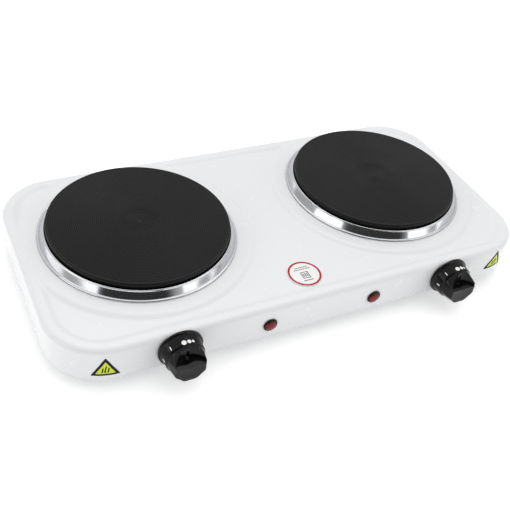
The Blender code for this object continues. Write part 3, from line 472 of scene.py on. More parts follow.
def spin(bm, geom, matrix, steps):
    axis = (matrix.to_3x3() @ Vector((0, 0, 1))).normalized()
    bmesh.ops.spin(
        bm, geom=geom, cent=matrix.translation, axis=axis, angle=2 * math.pi, steps=steps, use_merge=True,
    )
    bmesh.ops.remove_doubles(bm, verts=bm.verts[:], dist=0.001 * MM)
    bmesh.ops.recalc_face_normals(bm, faces=bm.faces[:])


def turned(points, matrix=Matrix(), steps=96, closed=False):
    """A bmesh turned from (radius, height) points about the matrix's Z axis."""
    bm = bmesh.new()
    outline = [*points, points[0]] if closed else points
    spin(bm, profile_points(bm, outline, matrix), matrix, steps)
    return bm


def arc(centre, radius, start, end, steps):
    """Points on an arc, angles in degrees from +X towards +Y."""
    found = []
    for i in range(steps + 1):
        angle = math.radians(start + (end - start) * i / steps)
        found.append((centre[0] + radius * math.cos(angle), centre[1] + radius * math.sin(angle)))
    return found


def to_piece(name, bm, *materials, sharp=35):
    """The bmesh as a finished object, at the origin."""
    mesh = bpy.data.meshes.new(name)
    bm.to_mesh(mesh)
    bm.free()
    mesh.shade_smooth()
    mesh.set_sharp_from_angle(angle=math.radians(sharp))
    obj = bpy.data.objects.new(name, mesh)
    bpy.context.scene.collection.objects.link(obj)
    for material in materials:
        mesh.materials.append(material)
    return obj


def settle(obj, sharp=35):
    """Replaces an object's mesh by what its modifiers make of it."""
    graph = bpy.context.evaluated_depsgraph_get()
    made = bpy.data.meshes.new_from_object(obj.evaluated_get(graph))
    old = obj.data
    obj.modifiers.clear()
    obj.data = made
    made.name = obj.name
    bpy.data.meshes.remove(old)
    made.shade_smooth()
    made.set_sharp_from_angle(angle=math.radians(sharp))


def cut(obj, cutter_bm, crossing=False):
    """Takes the cutter's closed shapes out of the object. They may cross each other if crossing is set."""
    cutter = to_piece(f"{obj.name}_cutter", cutter_bm)
    change = obj.modifiers.new("Cut", "BOOLEAN")
    change.operation = "DIFFERENCE"
    change.solver = "EXACT"
    change.use_self = crossing
    change.object = cutter
    settle(obj)
    bpy.data.objects.remove(cutter, do_unlink=True)


def thicken(obj, sheet, sharp=35):
    """Gives a surface the thickness of its sheet, inwards."""
    change = obj.modifiers.new("Sheet", "SOLIDIFY")
    change.thickness = sheet
    change.offset = -1
    change.use_even_offset = True
    settle(obj, sharp)


def bevel(bm, edges, offset, segments):
    bmesh.ops.bevel(
        bm, geom=edges, offset=offset, segments=segments, profile=0.5, affect="EDGES", material=-1
    )


def upright_edges(bm, height):
    """Edges that rise by more than half this height."""
    return [e for e in bm.edges if abs(e.verts[0].co.z - e.verts[1].co.z) > height / 2]


def slices(axis, low, high, pitch):
    """Planes across an axis at about this pitch, as settings for bisect_plane."""
    count = max(1, round((high - low) / pitch))
    normal = Vector((axis == 0, axis == 1, 0))
    for i in range(1, count):
        yield {"plane_co": normal * (low + (high - low) * i / count), "plane_no": normal}


def soften(obj, width, segments=2, angle=40):
    change = obj.modifiers.new("Rounded edges", "BEVEL")
    change.width = width
    change.segments = segments
    change.limit_method = "ANGLE"
    change.angle_limit = math.radians(angle)
    change.harden_normals = False
    settle(obj)


def add_rod(bm, radius, low, high, matrix=Matrix(), steps=48):
    """A closed round bar along the matrix's Z axis, added to the bmesh."""
    middle = matrix @ Matrix.Translation((0, 0, (low + high) / 2))
    bmesh.ops.create_cone(
        bm, cap_ends=True, segments=steps, radius1=radius, radius2=radius, depth=high - low, matrix=middle
    )


def mount(obj, body, slot, *nodes):
    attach(obj, body)
    if nodes:
        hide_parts(*nodes)
    return obj


# Shell

FLAT = 0.999                # a face whose normal's Z is over this is level
GRID = 4 * MM               # cells of the deck's mesh
STEEP = 0.0005              # share of the sinking within a cell that makes it worth splitting
SHAFT_HOLE = 5 * MM         # radii of the holes in the walls
LAMP_HOLE = 5.1 * MM
SCREW_HOLE = 2.4 * MM
BUSH_HOLE = 6.5 * MM


def smooth_step(value):
    value = max(0.0, min(1.0, value))
    return value * value * (3 - 2 * value)


def plate_centre(side):
    return box(f"hotplate_{side}")[2]


def deck_sink(x, y):
    """How far the deck is sunk at a point, from 0 on the border and the pads to 1."""
    s = sizes()
    half_x = (SHELL_HIGH.x - SHELL_LOW.x) / 2 - s.corner
    half_y = (SHELL_HIGH.y - SHELL_LOW.y) / 2 - s.corner
    dx = abs(x - SHELL_MIDDLE.x) - half_x
    dy = abs(y - SHELL_MIDDLE.y) - half_y
    if dx > 0 and dy > 0:
        from_edge = s.corner - math.hypot(dx, dy)
    else:
        from_edge = s.corner - max(dx, dy)
    sunk = smooth_step((from_edge - s.border) / s.step)
    for side in SIDES:
        centre = plate_centre(side)
        pad = box(f"trim_ring_{side}")[1].x - centre.x + s.pad
        sunk *= smooth_step((math.hypot(x - centre.x, y - centre.y) - pad) / s.step)
    return sunk


def grid_cuts(bm, pitch):
    """Cuts the deck's flat top into cells of about this pitch."""
    for axis, low, high in ((0, SHELL_LOW.x, SHELL_HIGH.x), (1, SHELL_LOW.y, SHELL_HIGH.y)):
        for plane in slices(axis, low, high, pitch):
            top = [f for f in bm.faces if f.normal.z > FLAT]
            geom = list({v for f in top for v in f.verts} | {e for f in top for e in f.edges}) + top
            bmesh.ops.bisect_plane(bm, geom=geom, dist=0.02 * MM, **plane)


def press_deck(bm):
    """Splits the cells near the pressed steps finely, then sinks the deck."""
    s = sizes()
    for face in bm.faces:
        face.normal_update()
    band = []
    for face in bm.faces:
        if face.normal.z < FLAT:
            continue
        found = [deck_sink(v.co.x, v.co.y) for v in face.verts]
        found.append(deck_sink(*face.calc_center_median().xy))
        if max(found) - min(found) > STEEP:
            band.append(face)
    edges = list({e for face in band for e in face.edges})
    bmesh.ops.subdivide_edges(bm, edges=edges, cuts=3, use_grid_fill=True)
    crowded = [f for f in bm.faces if f.normal.z > FLAT and len(f.verts) > 4]
    bmesh.ops.triangulate(bm, faces=crowded)
    for vert in bm.verts:
        if vert.co.z > DECK - 0.001 * MM:
            vert.co.z -= s.recess * deck_sink(vert.co.x, vert.co.y)


def wall_hole(bm, place, radius, steps, wall=FRONT, facing=FACING_FRONT):
    """Cutter for a round hole in the front or rear wall, level with this place."""
    spot = Matrix.Translation((place.x, wall, place.z)) @ facing
    add_rod(bm, radius, -5 * MM, 1 * MM, spot, steps)


def make_shell():
    """Pressed shell: a rounded box without a bottom, its deck sunk, then given its sheet and its holes."""
    s = sizes()
    bm = bmesh.new()
    size = SHELL_HIGH - SHELL_LOW
    bmesh.ops.create_cube(bm, size=1, matrix=Matrix.Translation(SHELL_MIDDLE) @ Matrix.Diagonal((*size, 1)))
    bevel(bm, upright_edges(bm, size.z), s.corner, 28)
    top = max(bm.faces, key=lambda face: face.calc_center_median().z)
    bevel(bm, list(top.edges), s.top_edge, 7)
    bottom = [f for f in bm.faces if f.normal.z < -0.9]
    bmesh.ops.delete(bm, geom=bottom, context="FACES_ONLY")
    grid_cuts(bm, GRID)
    under = [
        f for f in bm.faces
        if f.normal.z > FLAT and any(
            max((v.co.xy - plate_centre(side).xy).length for v in f.verts) < s.opening - GRID
            for side in SIDES
        )
    ]
    bmesh.ops.delete(bm, geom=under, context="FACES")
    press_deck(bm)
    shell = to_piece("enamel_shell", bm, white_enamel())
    thicken(shell, s.sheet)
    holes = bmesh.new()
    for side in SIDES:
        add_rod(holes, s.opening, -12 * MM, 2 * MM, Matrix.Translation((*plate_centre(side).xy, DECK)), 128)
        wall_hole(holes, knob_axis(side), SHAFT_HOLE, 32)
        wall_hole(holes, box(f"lamp_bezel_{side}")[2], LAMP_HOLE, 32)
        for end in ("inner", "outer"):
            wall_hole(holes, box(f"thermostat_screw_{side}_{end}")[2], SCREW_HOLE, 20)
    wall_hole(holes, box("cord_bush")[2], BUSH_HOLE, 48, REAR, FACING_REAR)
    cut(shell, holes)
    return mount(shell, "housing", "white_enamel", "top_shell")


# Plates and rings

GROOVES_IN_DISH = 18 * MM       # from the edge of the sunk centre in to the first groove


def make_plate(side):
    """Cast-iron plate: turned grooves, a soft sunk centre, a rounded rim, a spigot and a boss below."""
    s = sizes()
    low, high, centre = box(f"hotplate_{side}")
    radius = (high.x - low.x) / 2
    top = high.z
    rim = top - 5 * MM
    spigot = radius - 6.5 * MM
    slope = 9 * MM
    start, end = s.dish - GROOVES_IN_DISH, radius - 2.4 * MM
    count = round((end - start) / s.groove_pitch)
    pitch = (end - start) / count

    def face(r):
        return top - s.dish_depth * (1 - smooth_step((r - s.dish + slope) / slope))

    points = [(0, face(0))]
    for i in range(count):
        r = start + i * pitch
        bottom = r + 0.72 * pitch
        points += [(r, face(r)), (r + 0.5 * pitch, face(r + 0.5 * pitch))]
        points.append((bottom, face(bottom) - s.groove_depth))
    points += [(end, top), *arc((radius - 1 * MM, top - 1 * MM), 1 * MM, 90, 0, 5)]
    points += [(radius, rim + 0.4 * MM), (radius - 0.4 * MM, rim), (spigot, rim), (spigot, low.z)]
    under = top - 10 * MM
    boss, boss_end = 20 * MM, under - 6 * MM
    bore, bore_end = 3.3 * MM, under + 1.8 * MM
    points += [(spigot - 5 * MM, low.z), (spigot - 5 * MM, under), (boss, under), (boss, boss_end)]
    points += [(bore, boss_end), (bore, bore_end), (0, bore_end)]
    place = Matrix.Translation((*centre.xy, 0))
    material = coated_iron(side, (*centre.xy, top))
    plate = to_piece(f"iron_plate_{side}", turned(points, place, 176), material, sharp=50)
    return mount(plate, "housing", "cast_iron", f"hotplate_{side}")


def make_ring(side):
    """Trim ring: a lip under the plate, a rolled bead, a steep slope and a rolled foot on the deck."""
    s = sizes()
    low, high, centre = box(f"trim_ring_{side}")
    radius = (high.x - low.x) / 2
    lip = high.z - 0.4 * MM
    foot = low.z + s.ring_sheet
    plate = box(f"hotplate_{side}")
    plate_radius = (plate[1].x - plate[0].x) / 2
    bead = plate_radius + 1.3 * MM
    points = [(plate_radius - 4.5 * MM, lip), (plate_radius + 0.4 * MM, lip)]
    points += arc((bead, lip - 0.35 * MM), 0.75 * MM, 130, 15, 6)
    hem = (radius - 0.9 * MM, foot + 0.05 * MM)
    start, end = Vector((bead + 0.85 * MM, lip - 0.7 * MM)), Vector((radius - 1.9 * MM, foot + 0.6 * MM))
    points += [tuple(start.lerp(end, t)) for t in (0, 0.06, 0.35, 0.65, 0.94, 1)]
    points += arc(hem, 0.85 * MM, 150, 0, 7)
    place = Matrix.Translation((*centre.xy, 0))
    bm = turned(points, place, 200)
    if max(bm.faces, key=lambda face: face.calc_center_median().z).normal.z < 0:
        bmesh.ops.reverse_faces(bm, faces=bm.faces[:])
    ring = to_piece(f"spill_ring_{side}", bm, polished_stainless(side, (*centre.xy, foot)), sharp=60)
    thicken(ring, s.ring_sheet, 60)
    return mount(ring, "housing", "bright_stainless", f"trim_ring_{side}")


# Knobs

KNOB_SKIRT = 16.6 * MM          # radius of the skirt at the flange
KNOB_SKIRT_END = 16.0 * MM
KNOB_SKIRT_HEIGHT = 12.5 * MM   # front of the skirt from the wall
KNOB_GRIP = 14.8 * MM
KNOB_CHAMFER = 0.4 * MM
KNOB_BASE = 4.2 * MM            # where the skirt starts, from the wall
KNOB_BORE = 3.3 * MM
KNOB_BORE_END = 16.8 * MM
KNOB_WALL = 1.6 * MM
KNOB_CAVITY = 4.8 * MM          # floor of the hollow behind the skirt
KNOB_HUB = 5.8 * MM
KNOB_END = 13.4 * MM
SCOOP_DEPTH = 9 * MM
SCOOP_FLOOR = 3 * MM
FLUTES = 8
FLUTE_SAG = 0.4 * MM            # hollow of a flute at the end face
FLUTE_SKIRT_GAP = 0.3 * MM      # between a flute's end and the skirt


def add_flutes(cutter, place, front):
    """Shallow finger flutes round the grip. Each runs out in an arch just in front of the skirt."""
    half = KNOB_END * math.sin(math.pi / FLUTES)
    radius = (half**2 + FLUTE_SAG**2) / (2 * FLUTE_SAG)
    floor = KNOB_END * math.cos(math.pi / FLUTES) - FLUTE_SAG
    reach = front - KNOB_SKIRT_HEIGHT
    lean = math.atan((KNOB_GRIP - floor) / (reach - 1.2 * MM))
    tilt = Matrix.Rotation(lean, 4, "X") @ Matrix.Translation((0, radius, 0))
    for i in range(1, FLUTES):
        turn = Matrix.Rotation(2 * math.pi * i / FLUTES, 4, "Z")
        spot = place @ turn @ Matrix.Translation((0, floor, front)) @ tilt
        add_rod(cutter, radius, FLUTE_SKIRT_GAP - reach, 6 * MM, spot, 160)


def make_knob(side, material):
    """Knob: flange, skirt, hub, fluted grip, finger scoop and shaft bore."""
    low, high, _ = box(f"knob_{side}")
    axis = knob_axis(side)
    front = axis.y - low.y
    back = axis.y - high.y
    flange = (high.x - low.x) / 2
    points = [(0, front - 0.5 * MM), (KNOB_END * 0.35, front - 0.46 * MM)]
    points.append((KNOB_END * 0.7, front - 0.25 * MM))
    points += arc((KNOB_END - 1.1 * MM, front - 1.1 * MM), 1.1 * MM, 88, 6, 5)
    points += [
        (KNOB_GRIP, KNOB_SKIRT_HEIGHT + 1.3 * MM), (KNOB_GRIP + 0.25 * MM, KNOB_SKIRT_HEIGHT + 0.5 * MM),
        (KNOB_SKIRT_END - KNOB_CHAMFER, KNOB_SKIRT_HEIGHT),
        (KNOB_SKIRT_END, KNOB_SKIRT_HEIGHT - KNOB_CHAMFER), (KNOB_SKIRT, KNOB_BASE),
        (KNOB_SKIRT + 0.4 * MM, 3.6 * MM), (flange - 0.5 * MM, 3.3 * MM),
        (flange, 2.7 * MM), (flange, back + 0.3 * MM), (flange - 0.3 * MM, back),
        (KNOB_SKIRT - KNOB_WALL, back), (KNOB_SKIRT - KNOB_WALL, KNOB_CAVITY), (KNOB_HUB, KNOB_CAVITY),
        (KNOB_HUB, back), (0, back),
    ]
    place = Matrix.Translation(axis) @ FACING_FRONT
    knob = to_piece(f"knob_body_{side}", turned(points, place, 96), material)
    half_width = math.sqrt(KNOB_END**2 - SCOOP_FLOOR**2)
    radius = (half_width**2 + SCOOP_DEPTH**2) / (2 * SCOOP_DEPTH)
    cutter = bmesh.new()
    upright = Matrix.Translation(axis + Vector((0, -(front + radius - SCOOP_DEPTH), 0)))
    add_rod(cutter, radius, SCOOP_FLOOR, 2 * flange, upright, 96)
    add_flutes(cutter, place, front)
    cut(knob, cutter, crossing=True)
    bore = bmesh.new()
    add_rod(bore, KNOB_BORE, -2 * MM, KNOB_BORE_END, place, 32)
    cut(knob, bore)
    soften(knob, 0.35 * MM, 2)
    return mount(knob, f"knob_{side}", "black_phenolic", f"knob_{side}")


def skirt_radius(depth):
    """Radius of the knob's skirt this far out from the wall."""
    share = (depth - KNOB_BASE) / (KNOB_SKIRT_HEIGHT - KNOB_CHAMFER - KNOB_BASE)
    return KNOB_SKIRT + (KNOB_SKIRT_END - KNOB_SKIRT) * share


def wrap_on_knob(bm, axis, angle, reach):
    """Bends flat marks, drawn in XY with +Y towards the wall, round the knob at this angle and distance."""
    for vert in bm.verts:
        depth = reach - vert.co.y
        turn = angle + vert.co.x / KNOB_SKIRT
        radius = skirt_radius(depth) + 0.02 * MM + vert.co.z
        vert.co = axis + Vector((radius * math.sin(turn), -depth, radius * math.cos(turn)))
    bmesh.ops.recalc_face_normals(bm, faces=bm.faces[:])


def join(target, part):
    """Adds one bmesh to another."""
    mesh = bpy.data.meshes.new("part")
    part.to_mesh(mesh)
    part.free()
    target.from_mesh(mesh)
    bpy.data.meshes.remove(mesh)


KNOB_DOTS = ((-6, 2.0 * MM), (9, 1.6 * MM), (20.5, 1.15 * MM))     # angle in degrees, radius
STEP_ANGLES = (-45, -90, -135, -180, -225)      # the heat settings, in degrees
DOTS_OUT = 10.4 * MM        # middle of the dots, from the wall
BARS_OUT = 9 * MM
MARK_CELL = 0.8 * MM


def make_knob_marks(side, ink):
    """Off dots on top, and five bars that grow with the heat, the other way round the knob from its turn."""
    axis = knob_axis(side)
    marks = bmesh.new()
    for angle, radius in KNOB_DOTS:
        dot = bmesh.new()
        add_rod(dot, radius, -0.04 * MM, 0.04 * MM, steps=28)
        strips(dot, MARK_CELL)
        wrap_on_knob(dot, axis, math.radians(angle), DOTS_OUT)
        join(marks, dot)
    for i, angle in enumerate(STEP_ANGLES):
        bar = bmesh.new()
        add_bar(bar, (0.75 + 0.35 * i) * MM, sizes().mark, (0, 0), 0.08 * MM)
        strips(bar, MARK_CELL)
        wrap_on_knob(bar, axis, math.radians(angle), BARS_OUT)
        join(marks, bar)
    piece = to_piece(f"knob_marks_{side}", marks, ink)
    return mount(piece, f"knob_{side}", "black_phenolic")


# Lamps, labels, feet and bush

def make_lamp(side, bezel_material, lens_material):
    """Pilot lamp: a rounded bezel, and a window whose cap covers part of it."""
    low, high, centre = box(f"lamp_bezel_{side}")
    place = Matrix.Translation((centre.x, FRONT, centre.z)) @ FACING_FRONT
    radius = (high.x - low.x) / 2
    face = FRONT - low.y
    barrel = LAMP_HOLE - 0.3 * MM
    bore = 3.7 * MM
    depth = high.y - FRONT
    bezel = [(bore, face - 0.5 * MM), (bore + 0.3 * MM, face - 0.1 * MM)]
    bezel += arc((radius - 1.2 * MM, face - 1.2 * MM), 1.2 * MM, 90, 0, 6)
    bezel += [(radius, 0.3 * MM), (barrel, 0.3 * MM), (barrel, -depth), (bore, -depth)]
    rim = to_piece(f"lamp_rim_{side}", turned(bezel, place, 64, closed=True), bezel_material)
    mount(rim, "housing", "black_phenolic", f"lamp_bezel_{side}")
    low, high, _ = box(f"lamp_lens_{side}")
    stem = (high.x - low.x) / 2
    radius = stem + 1.25 * MM
    rise = FRONT - low.y
    shoulder = face + 0.02 * MM
    dome = [(0, rise)]
    steps = 8
    for i in range(1, steps + 1):
        angle = math.radians(90) * i / steps
        flute = 0.05 * MM if i % 2 and i < steps else 0.0
        dome.append((radius * math.sin(angle), shoulder + (rise - shoulder) * math.cos(angle) - flute))
    end = -(high.y - FRONT)
    lens_bm = turned([*dome, (stem, shoulder), (stem, end), (0, end)], place, 48)
    lens = to_piece(f"lamp_window_{side}", lens_bm, lens_material, sharp=50)
    mount(lens, "housing", "red_lens", f"lamp_lens_{side}")


def add_bar(bm, width, height, centre, thickness, turn=0.0):
    """A flat bar with rounded ends, upright before it is turned."""
    matrix = Matrix.Translation((*centre, 0)) @ Matrix.Rotation(turn, 4, "Z")
    matrix = matrix @ Matrix.Diagonal((width, height, thickness, 1))
    made = bmesh.ops.create_cube(bm, size=1, matrix=matrix)
    up = Vector((0, 0, 1))
    corners = [
        e for e in {e for v in made["verts"] for e in v.link_edges}
        if abs((e.verts[0].co - e.verts[1].co).normalized().dot(up)) > 0.9
    ]
    bevel(bm, corners, min(width, height) * 0.45, 4)


PRINT = 0.06 * MM       # thickness of a printed layer


def make_round_label():
    """Round sticker on the sunk deck: white film, a red ring, and plain bars for its print."""
    low, high, centre = box("round_label")
    radius = (high.x - low.x) / 2
    rim = 0.15 * MM
    film = [(0, high.z), *arc((radius - rim, high.z - rim), rim, 90, 0, 3), (radius, low.z), (0, low.z)]
    place = Matrix.Translation((*centre.xy, 0))
    disc = to_piece("label_disc", turned(film, place, 96), label_film("label_white", linear("#f3f3f1")))
    mount(disc, "housing", "label_paper", "round_label")
    layer = high.z + PRINT / 2 + 0.01 * MM
    outer, inner = radius - 0.5 * MM, radius - 2.3 * MM
    upper, lower = layer + PRINT / 2, layer - PRINT / 2
    hoop = [(inner, upper), (outer, upper), (outer, lower), (inner, lower)]
    hoop_ink = printed_ink("red_print", colours().red)
    ring = to_piece("label_hoop", turned(hoop, place, 96, closed=True), hoop_ink)
    mount(ring, "housing", "label_paper")
    rows = bmesh.new()
    emblem = bmesh.new()
    pitch = 1.7 * MM
    for row, half in ((7.6 * MM, 3), (5.4 * MM, 4)):
        for i in range(-half, half + 1):
            add_bar(rows, 1.1 * MM, 1.2 * MM, (i * pitch, row), PRINT)
    for x, y, w, h in ((-3.2, -1.8, 0.7, 7), (3.2, -1.8, 0.7, 7), (0, 1.6, 7, 0.7), (0, -5.2, 7, 0.7)):
        add_bar(emblem, w * MM, h * MM, (x * MM, y * MM), PRINT)
    for i in (-1, 0, 1):
        add_bar(emblem, 0.8 * MM, 4.2 * MM, (i * pitch, -1.8 * MM), PRINT)
    add_bar(emblem, 9 * MM, 0.8 * MM, (0, -8.0 * MM), PRINT)
    onto = Matrix.Translation((*centre.xy, layer))
    for name, bm, ink in (
        ("label_bars", rows, printed_ink("maroon_print", linear("#6e5157"))),
        ("label_emblem", emblem, printed_ink("grey_print", linear("#606066"))),
    ):
        bm.transform(onto)
        mount(to_piece(name, bm, ink), "housing", "label_paper")


def triangle_bm(reach, corner, thickness, lift):
    """A flat upright triangle with rounded corners, cut into strips so that it can bend."""
    bm = bmesh.new()
    matrix = Matrix.Translation((0, 0, lift))
    bmesh.ops.create_cone(
        bm, cap_ends=True, segments=3, radius1=reach, radius2=reach, depth=thickness, matrix=matrix
    )
    bevel(bm, upright_edges(bm, thickness), corner, 5)
    strips(bm)
    return bm


def strips(bm, pitch=1.2 * MM):
    """Cuts a flat shape across at this pitch both ways."""
    for axis in (0, 1):
        values = [v.co[axis] for v in bm.verts]
        for plane in slices(axis, min(values), max(values), pitch):
            geom = bm.verts[:] + bm.edges[:] + bm.faces[:]
            bmesh.ops.bisect_plane(bm, geom=geom, dist=0.001 * MM, **plane)


def front_corner(sign):
    """Axis of the shell's left or right front corner, in XY."""
    corner = sizes().corner
    return Vector((sign * (SHELL_HIGH.x - corner), FRONT + corner))


def wrap_on_corner(bm, sign, along, height):
    """Bends a flat shape round a front corner of the shell, and over the top edge where it reaches it."""
    s = sizes()
    centre = front_corner(sign)
    flat_top = DECK - s.top_edge
    for vert in bm.verts:
        turn = sign * (along / s.corner) + vert.co.x / s.corner
        z = height + vert.co.y
        radius = s.corner + 0.05 * MM + vert.co.z
        if z > flat_top:
            lean = (z - flat_top) / s.top_edge
            radius -= s.top_edge * (1 - math.cos(lean))
            z = flat_top + (s.top_edge + vert.co.z) * math.sin(lean)
        vert.co = Vector((centre.x + radius * math.sin(turn), centre.y - radius * math.cos(turn), z))
    bmesh.ops.recalc_face_normals(bm, faces=bm.faces[:])


def make_hot_label(side, sign, black, yellow):
    """Triangle sticker bent round a front corner: black edge, yellow field and three plain bars."""
    low, high, middle = box(f"hot_label_{side}")
    reach = (high.z - low.z) / 1.5
    centre = front_corner(sign)
    along = abs(math.atan2(middle.x - centre.x, centre.y - middle.y)) * sizes().corner
    height = low.z + reach / 2
    layers = (
        (f"hot_label_edge_{side}", triangle_bm(reach, 1.0 * MM, 0.1 * MM, 0.05 * MM), black),
        (f"hot_label_field_{side}", triangle_bm(reach - 4.2 * MM, 0.6 * MM, 0.06 * MM, 0.15 * MM), yellow),
    )
    bars = bmesh.new()
    for i, tall in ((-1, 5.4), (0, 7.4), (1, 5.4)):
        middle = (i * 2.2 * MM, (tall / 2 - 3.4) * MM)
        add_bar(bars, 1.0 * MM, tall * MM, middle, 0.06 * MM, math.radians(-10))
    bmesh.ops.translate(bars, verts=bars.verts[:], vec=(0, 0, 0.22 * MM))
    strips(bars)
    for name, bm, material in (*layers, (f"hot_label_bars_{side}", bars, black)):
        wrap_on_corner(bm, sign, along, height)
        piece = to_piece(name, bm, material)
        if name.startswith("hot_label_edge"):
            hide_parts(f"hot_label_{side}")
        mount(piece, "housing", "label_yellow")


def make_foot(name, rubber):
    """Moulded foot: straight side with a rounded lip, grip rings underneath, and a pocket for the screw."""
    low, high, centre = box(name)
    radius = (high.x - low.x) / 2
    top = high.z
    hole, pocket, pocket_end = 2.4 * MM, 4.5 * MM, 6 * MM
    points = [(hole, top), (radius - 0.5 * MM, top), (radius - 0.1 * MM, top - 0.4 * MM)]
    points.append((radius - 0.4 * MM, 5 * MM))
    points += [(radius, 3.4 * MM), *arc((radius - 1 * MM, 1 * MM), 1 * MM, 0, -90, 5)]
    for i in (0, 1):
        r = radius - 1.6 * MM - i * 1.4 * MM
        points += [(r, 0), (r - 0.3 * MM, 0.4 * MM), (r - 0.7 * MM, 0.4 * MM), (r - 1.0 * MM, 0)]
    points += [(pocket, 0), (pocket, pocket_end), (hole, pocket_end)]
    place = Matrix.Translation((*centre.xy, 0))
    foot = to_piece(f"rubber_{name}", turned(points, place, 48, closed=True), rubber)
    return mount(foot, "housing", "black_rubber", name)


def make_screw(name, zinc):
    """Pan-head screw with a cross recess."""
    low, high, centre = box(name)
    place = Matrix.Translation((centre.x, centre.y, low.z)) @ Matrix.Rotation(math.pi, 4, "X")
    head = 2.2 * MM
    depth = -(high.z - low.z)
    points = [(0, 0), (1.6 * MM, -0.08 * MM), (2.6 * MM, -0.5 * MM), (3.15 * MM, -1.2 * MM)]
    points += [(3.2 * MM, -head), (2.0 * MM, -head)]
    pitch, crest, root = 0.8 * MM, 1.98 * MM, 1.65 * MM
    turns = int((-depth - head - 1 * MM) / pitch)
    for i in range(turns):
        z = -head - 0.4 * MM - i * pitch
        points += [(crest, z), (root, z - pitch / 2)]
    points += [(crest, depth + 0.5 * MM), (1.5 * MM, depth), (0, depth)]
    screw = to_piece(f"steel_{name}", turned(points, place, 32), zinc)
    recess = bmesh.new()
    for turn in (0, math.radians(90)):
        matrix = place @ Matrix.Rotation(turn + math.radians(20), 4, "Z")
        matrix = matrix @ Matrix.Diagonal((3.4 * MM, 0.75 * MM, 2.4 * MM, 1))
        bmesh.ops.create_cube(recess, size=1, matrix=matrix)
    bmesh.ops.recalc_face_normals(recess, faces=recess.faces[:])
    cut(screw, recess, crossing=True)
    return mount(screw, "housing", "zinc_screw", name)


def make_bush(rubber):
    """Bush in the rear wall: a flange with a rounded edge and a chamfered mouth."""
    low, high, centre = box("cord_bush")
    place = Matrix.Translation((centre.x, REAR, centre.z)) @ FACING_REAR
    radius = (high.x - low.x) / 2
    outside = high.y - REAR
    inside = REAR - low.y
    bore, neck, lip = 3.8 * MM, 6.2 * MM, 1.1 * MM
    points = [(bore + 0.5 * MM, outside), *arc((radius - lip, outside - lip), lip, 90, 0, 6)]
    points += [(radius, 0.3 * MM), (neck, 0.3 * MM), (neck, -inside + 0.6 * MM), (neck - 0.6 * MM, -inside)]
    points += [(bore + 0.3 * MM, -inside), (bore, -inside + 0.3 * MM), (bore, outside - 0.5 * MM)]
    bush = to_piece("rubber_bush", turned(points, place, 64, closed=True), rubber)
    return mount(bush, "housing", "black_rubber", "cord_bush")


# Stage

CAMERA_PLACE = Vector((-0.29477, -0.44526, 0.46775))
CAMERA_TARGET = Vector((-0.03715, -0.02403, 0.0420))
CAMERA_ROLL = math.radians(-9.1)
CAMERA_LENS = 53.5
CAMERA_SHIFT = (0.0142, -0.0143)
DRAPE_TURN = math.radians(-22)      # direction of the dark drape, from the front towards +X


def make_camera():
    data = bpy.data.cameras.new("camera")
    data.lens = CAMERA_LENS
    data.sensor_width = 36
    data.shift_x, data.shift_y = CAMERA_SHIFT
    data.clip_start, data.clip_end = 0.01, 30
    data.dof.use_dof = False
    camera = bpy.data.objects.new("camera", data)
    back = (CAMERA_PLACE - CAMERA_TARGET).normalized()
    right = Vector((0, 0, 1)).cross(back).normalized()
    up = back.cross(right)
    turned_right = right * math.cos(CAMERA_ROLL) - up * math.sin(CAMERA_ROLL)
    turned_up = right * math.sin(CAMERA_ROLL) + up * math.cos(CAMERA_ROLL)
    axes = Matrix((turned_right, turned_up, back)).transposed()
    camera.matrix_world = Matrix.Translation(CAMERA_PLACE) @ axes.to_4x4()
    bpy.context.scene.collection.objects.link(camera)
    bpy.context.scene.camera = camera


def add_panel(name, azimuth, elevation, distance, width, height, brightness):
    """A soft box in this direction from the object, facing it."""
    a, e = math.radians(azimuth), math.radians(elevation)
    way = Vector((math.sin(a) * math.cos(e), -math.cos(a) * math.cos(e), math.sin(e)))
    data = bpy.data.lights.new(name, "AREA")
    data.shape = "RECTANGLE"
    data.size, data.size_y = width, height
    data.energy = brightness * math.pi * width * height
    light = bpy.data.objects.new(name, data)
    facing = way.to_track_quat("Z", "Y").to_matrix().to_4x4()
    light.matrix_world = Matrix.Translation(SHELL_MIDDLE + way * distance) @ facing
    light.visible_camera = False
    bpy.context.scene.collection.objects.link(light)


def make_world():
    """A pale studio: bright from above, with a dark drape in front for the metal and the plastic to show."""
    world = bpy.data.worlds.new("studio")
    world.use_nodes = True
    tree = world.node_tree
    tree.nodes.clear()
    way = add_node(tree, "ShaderNodeTexCoord").outputs["Generated"]
    height = add_node(tree, "ShaderNodeSeparateXYZ", {0: way}).outputs["Z"]
    glow = add_node(tree, "ShaderNodeMapRange", {
        "Value": height, "From Min": 0.05, "From Max": 0.7, "To Min": 0.5, "To Max": 1.02,
    }, interpolation_type="SMOOTHSTEP").outputs["Result"]
    front = Vector((math.sin(DRAPE_TURN), -math.cos(DRAPE_TURN), 0.25)).normalized()
    facing = add_node(tree, "ShaderNodeVectorMath", {0: way, 1: front}, operation="DOT_PRODUCT")
    drape = add_node(tree, "ShaderNodeMapRange", {
        "Value": facing.outputs["Value"], "From Min": 0.70, "From Max": 0.86, "To Min": 1.0, "To Max": 0.07,
    }, interpolation_type="SMOOTHSTEP").outputs["Result"]
    shown = add_node(tree, "ShaderNodeMath", {0: glow, 1: drape}, operation="MULTIPLY").outputs[0]
    light = add_node(tree, "ShaderNodeBackground", {"Color": (1, 1, 1, 1), "Strength": shown})
    out = add_node(tree, "ShaderNodeOutputWorld")
    tree.links.new(light.outputs[0], out.inputs["Surface"])
    bpy.context.scene.world = world


def make_floor():
    bm = bmesh.new()
    bmesh.ops.create_circle(bm, cap_ends=True, radius=6, segments=96)
    floor = to_piece("floor", bm, studio_floor())


# Operators

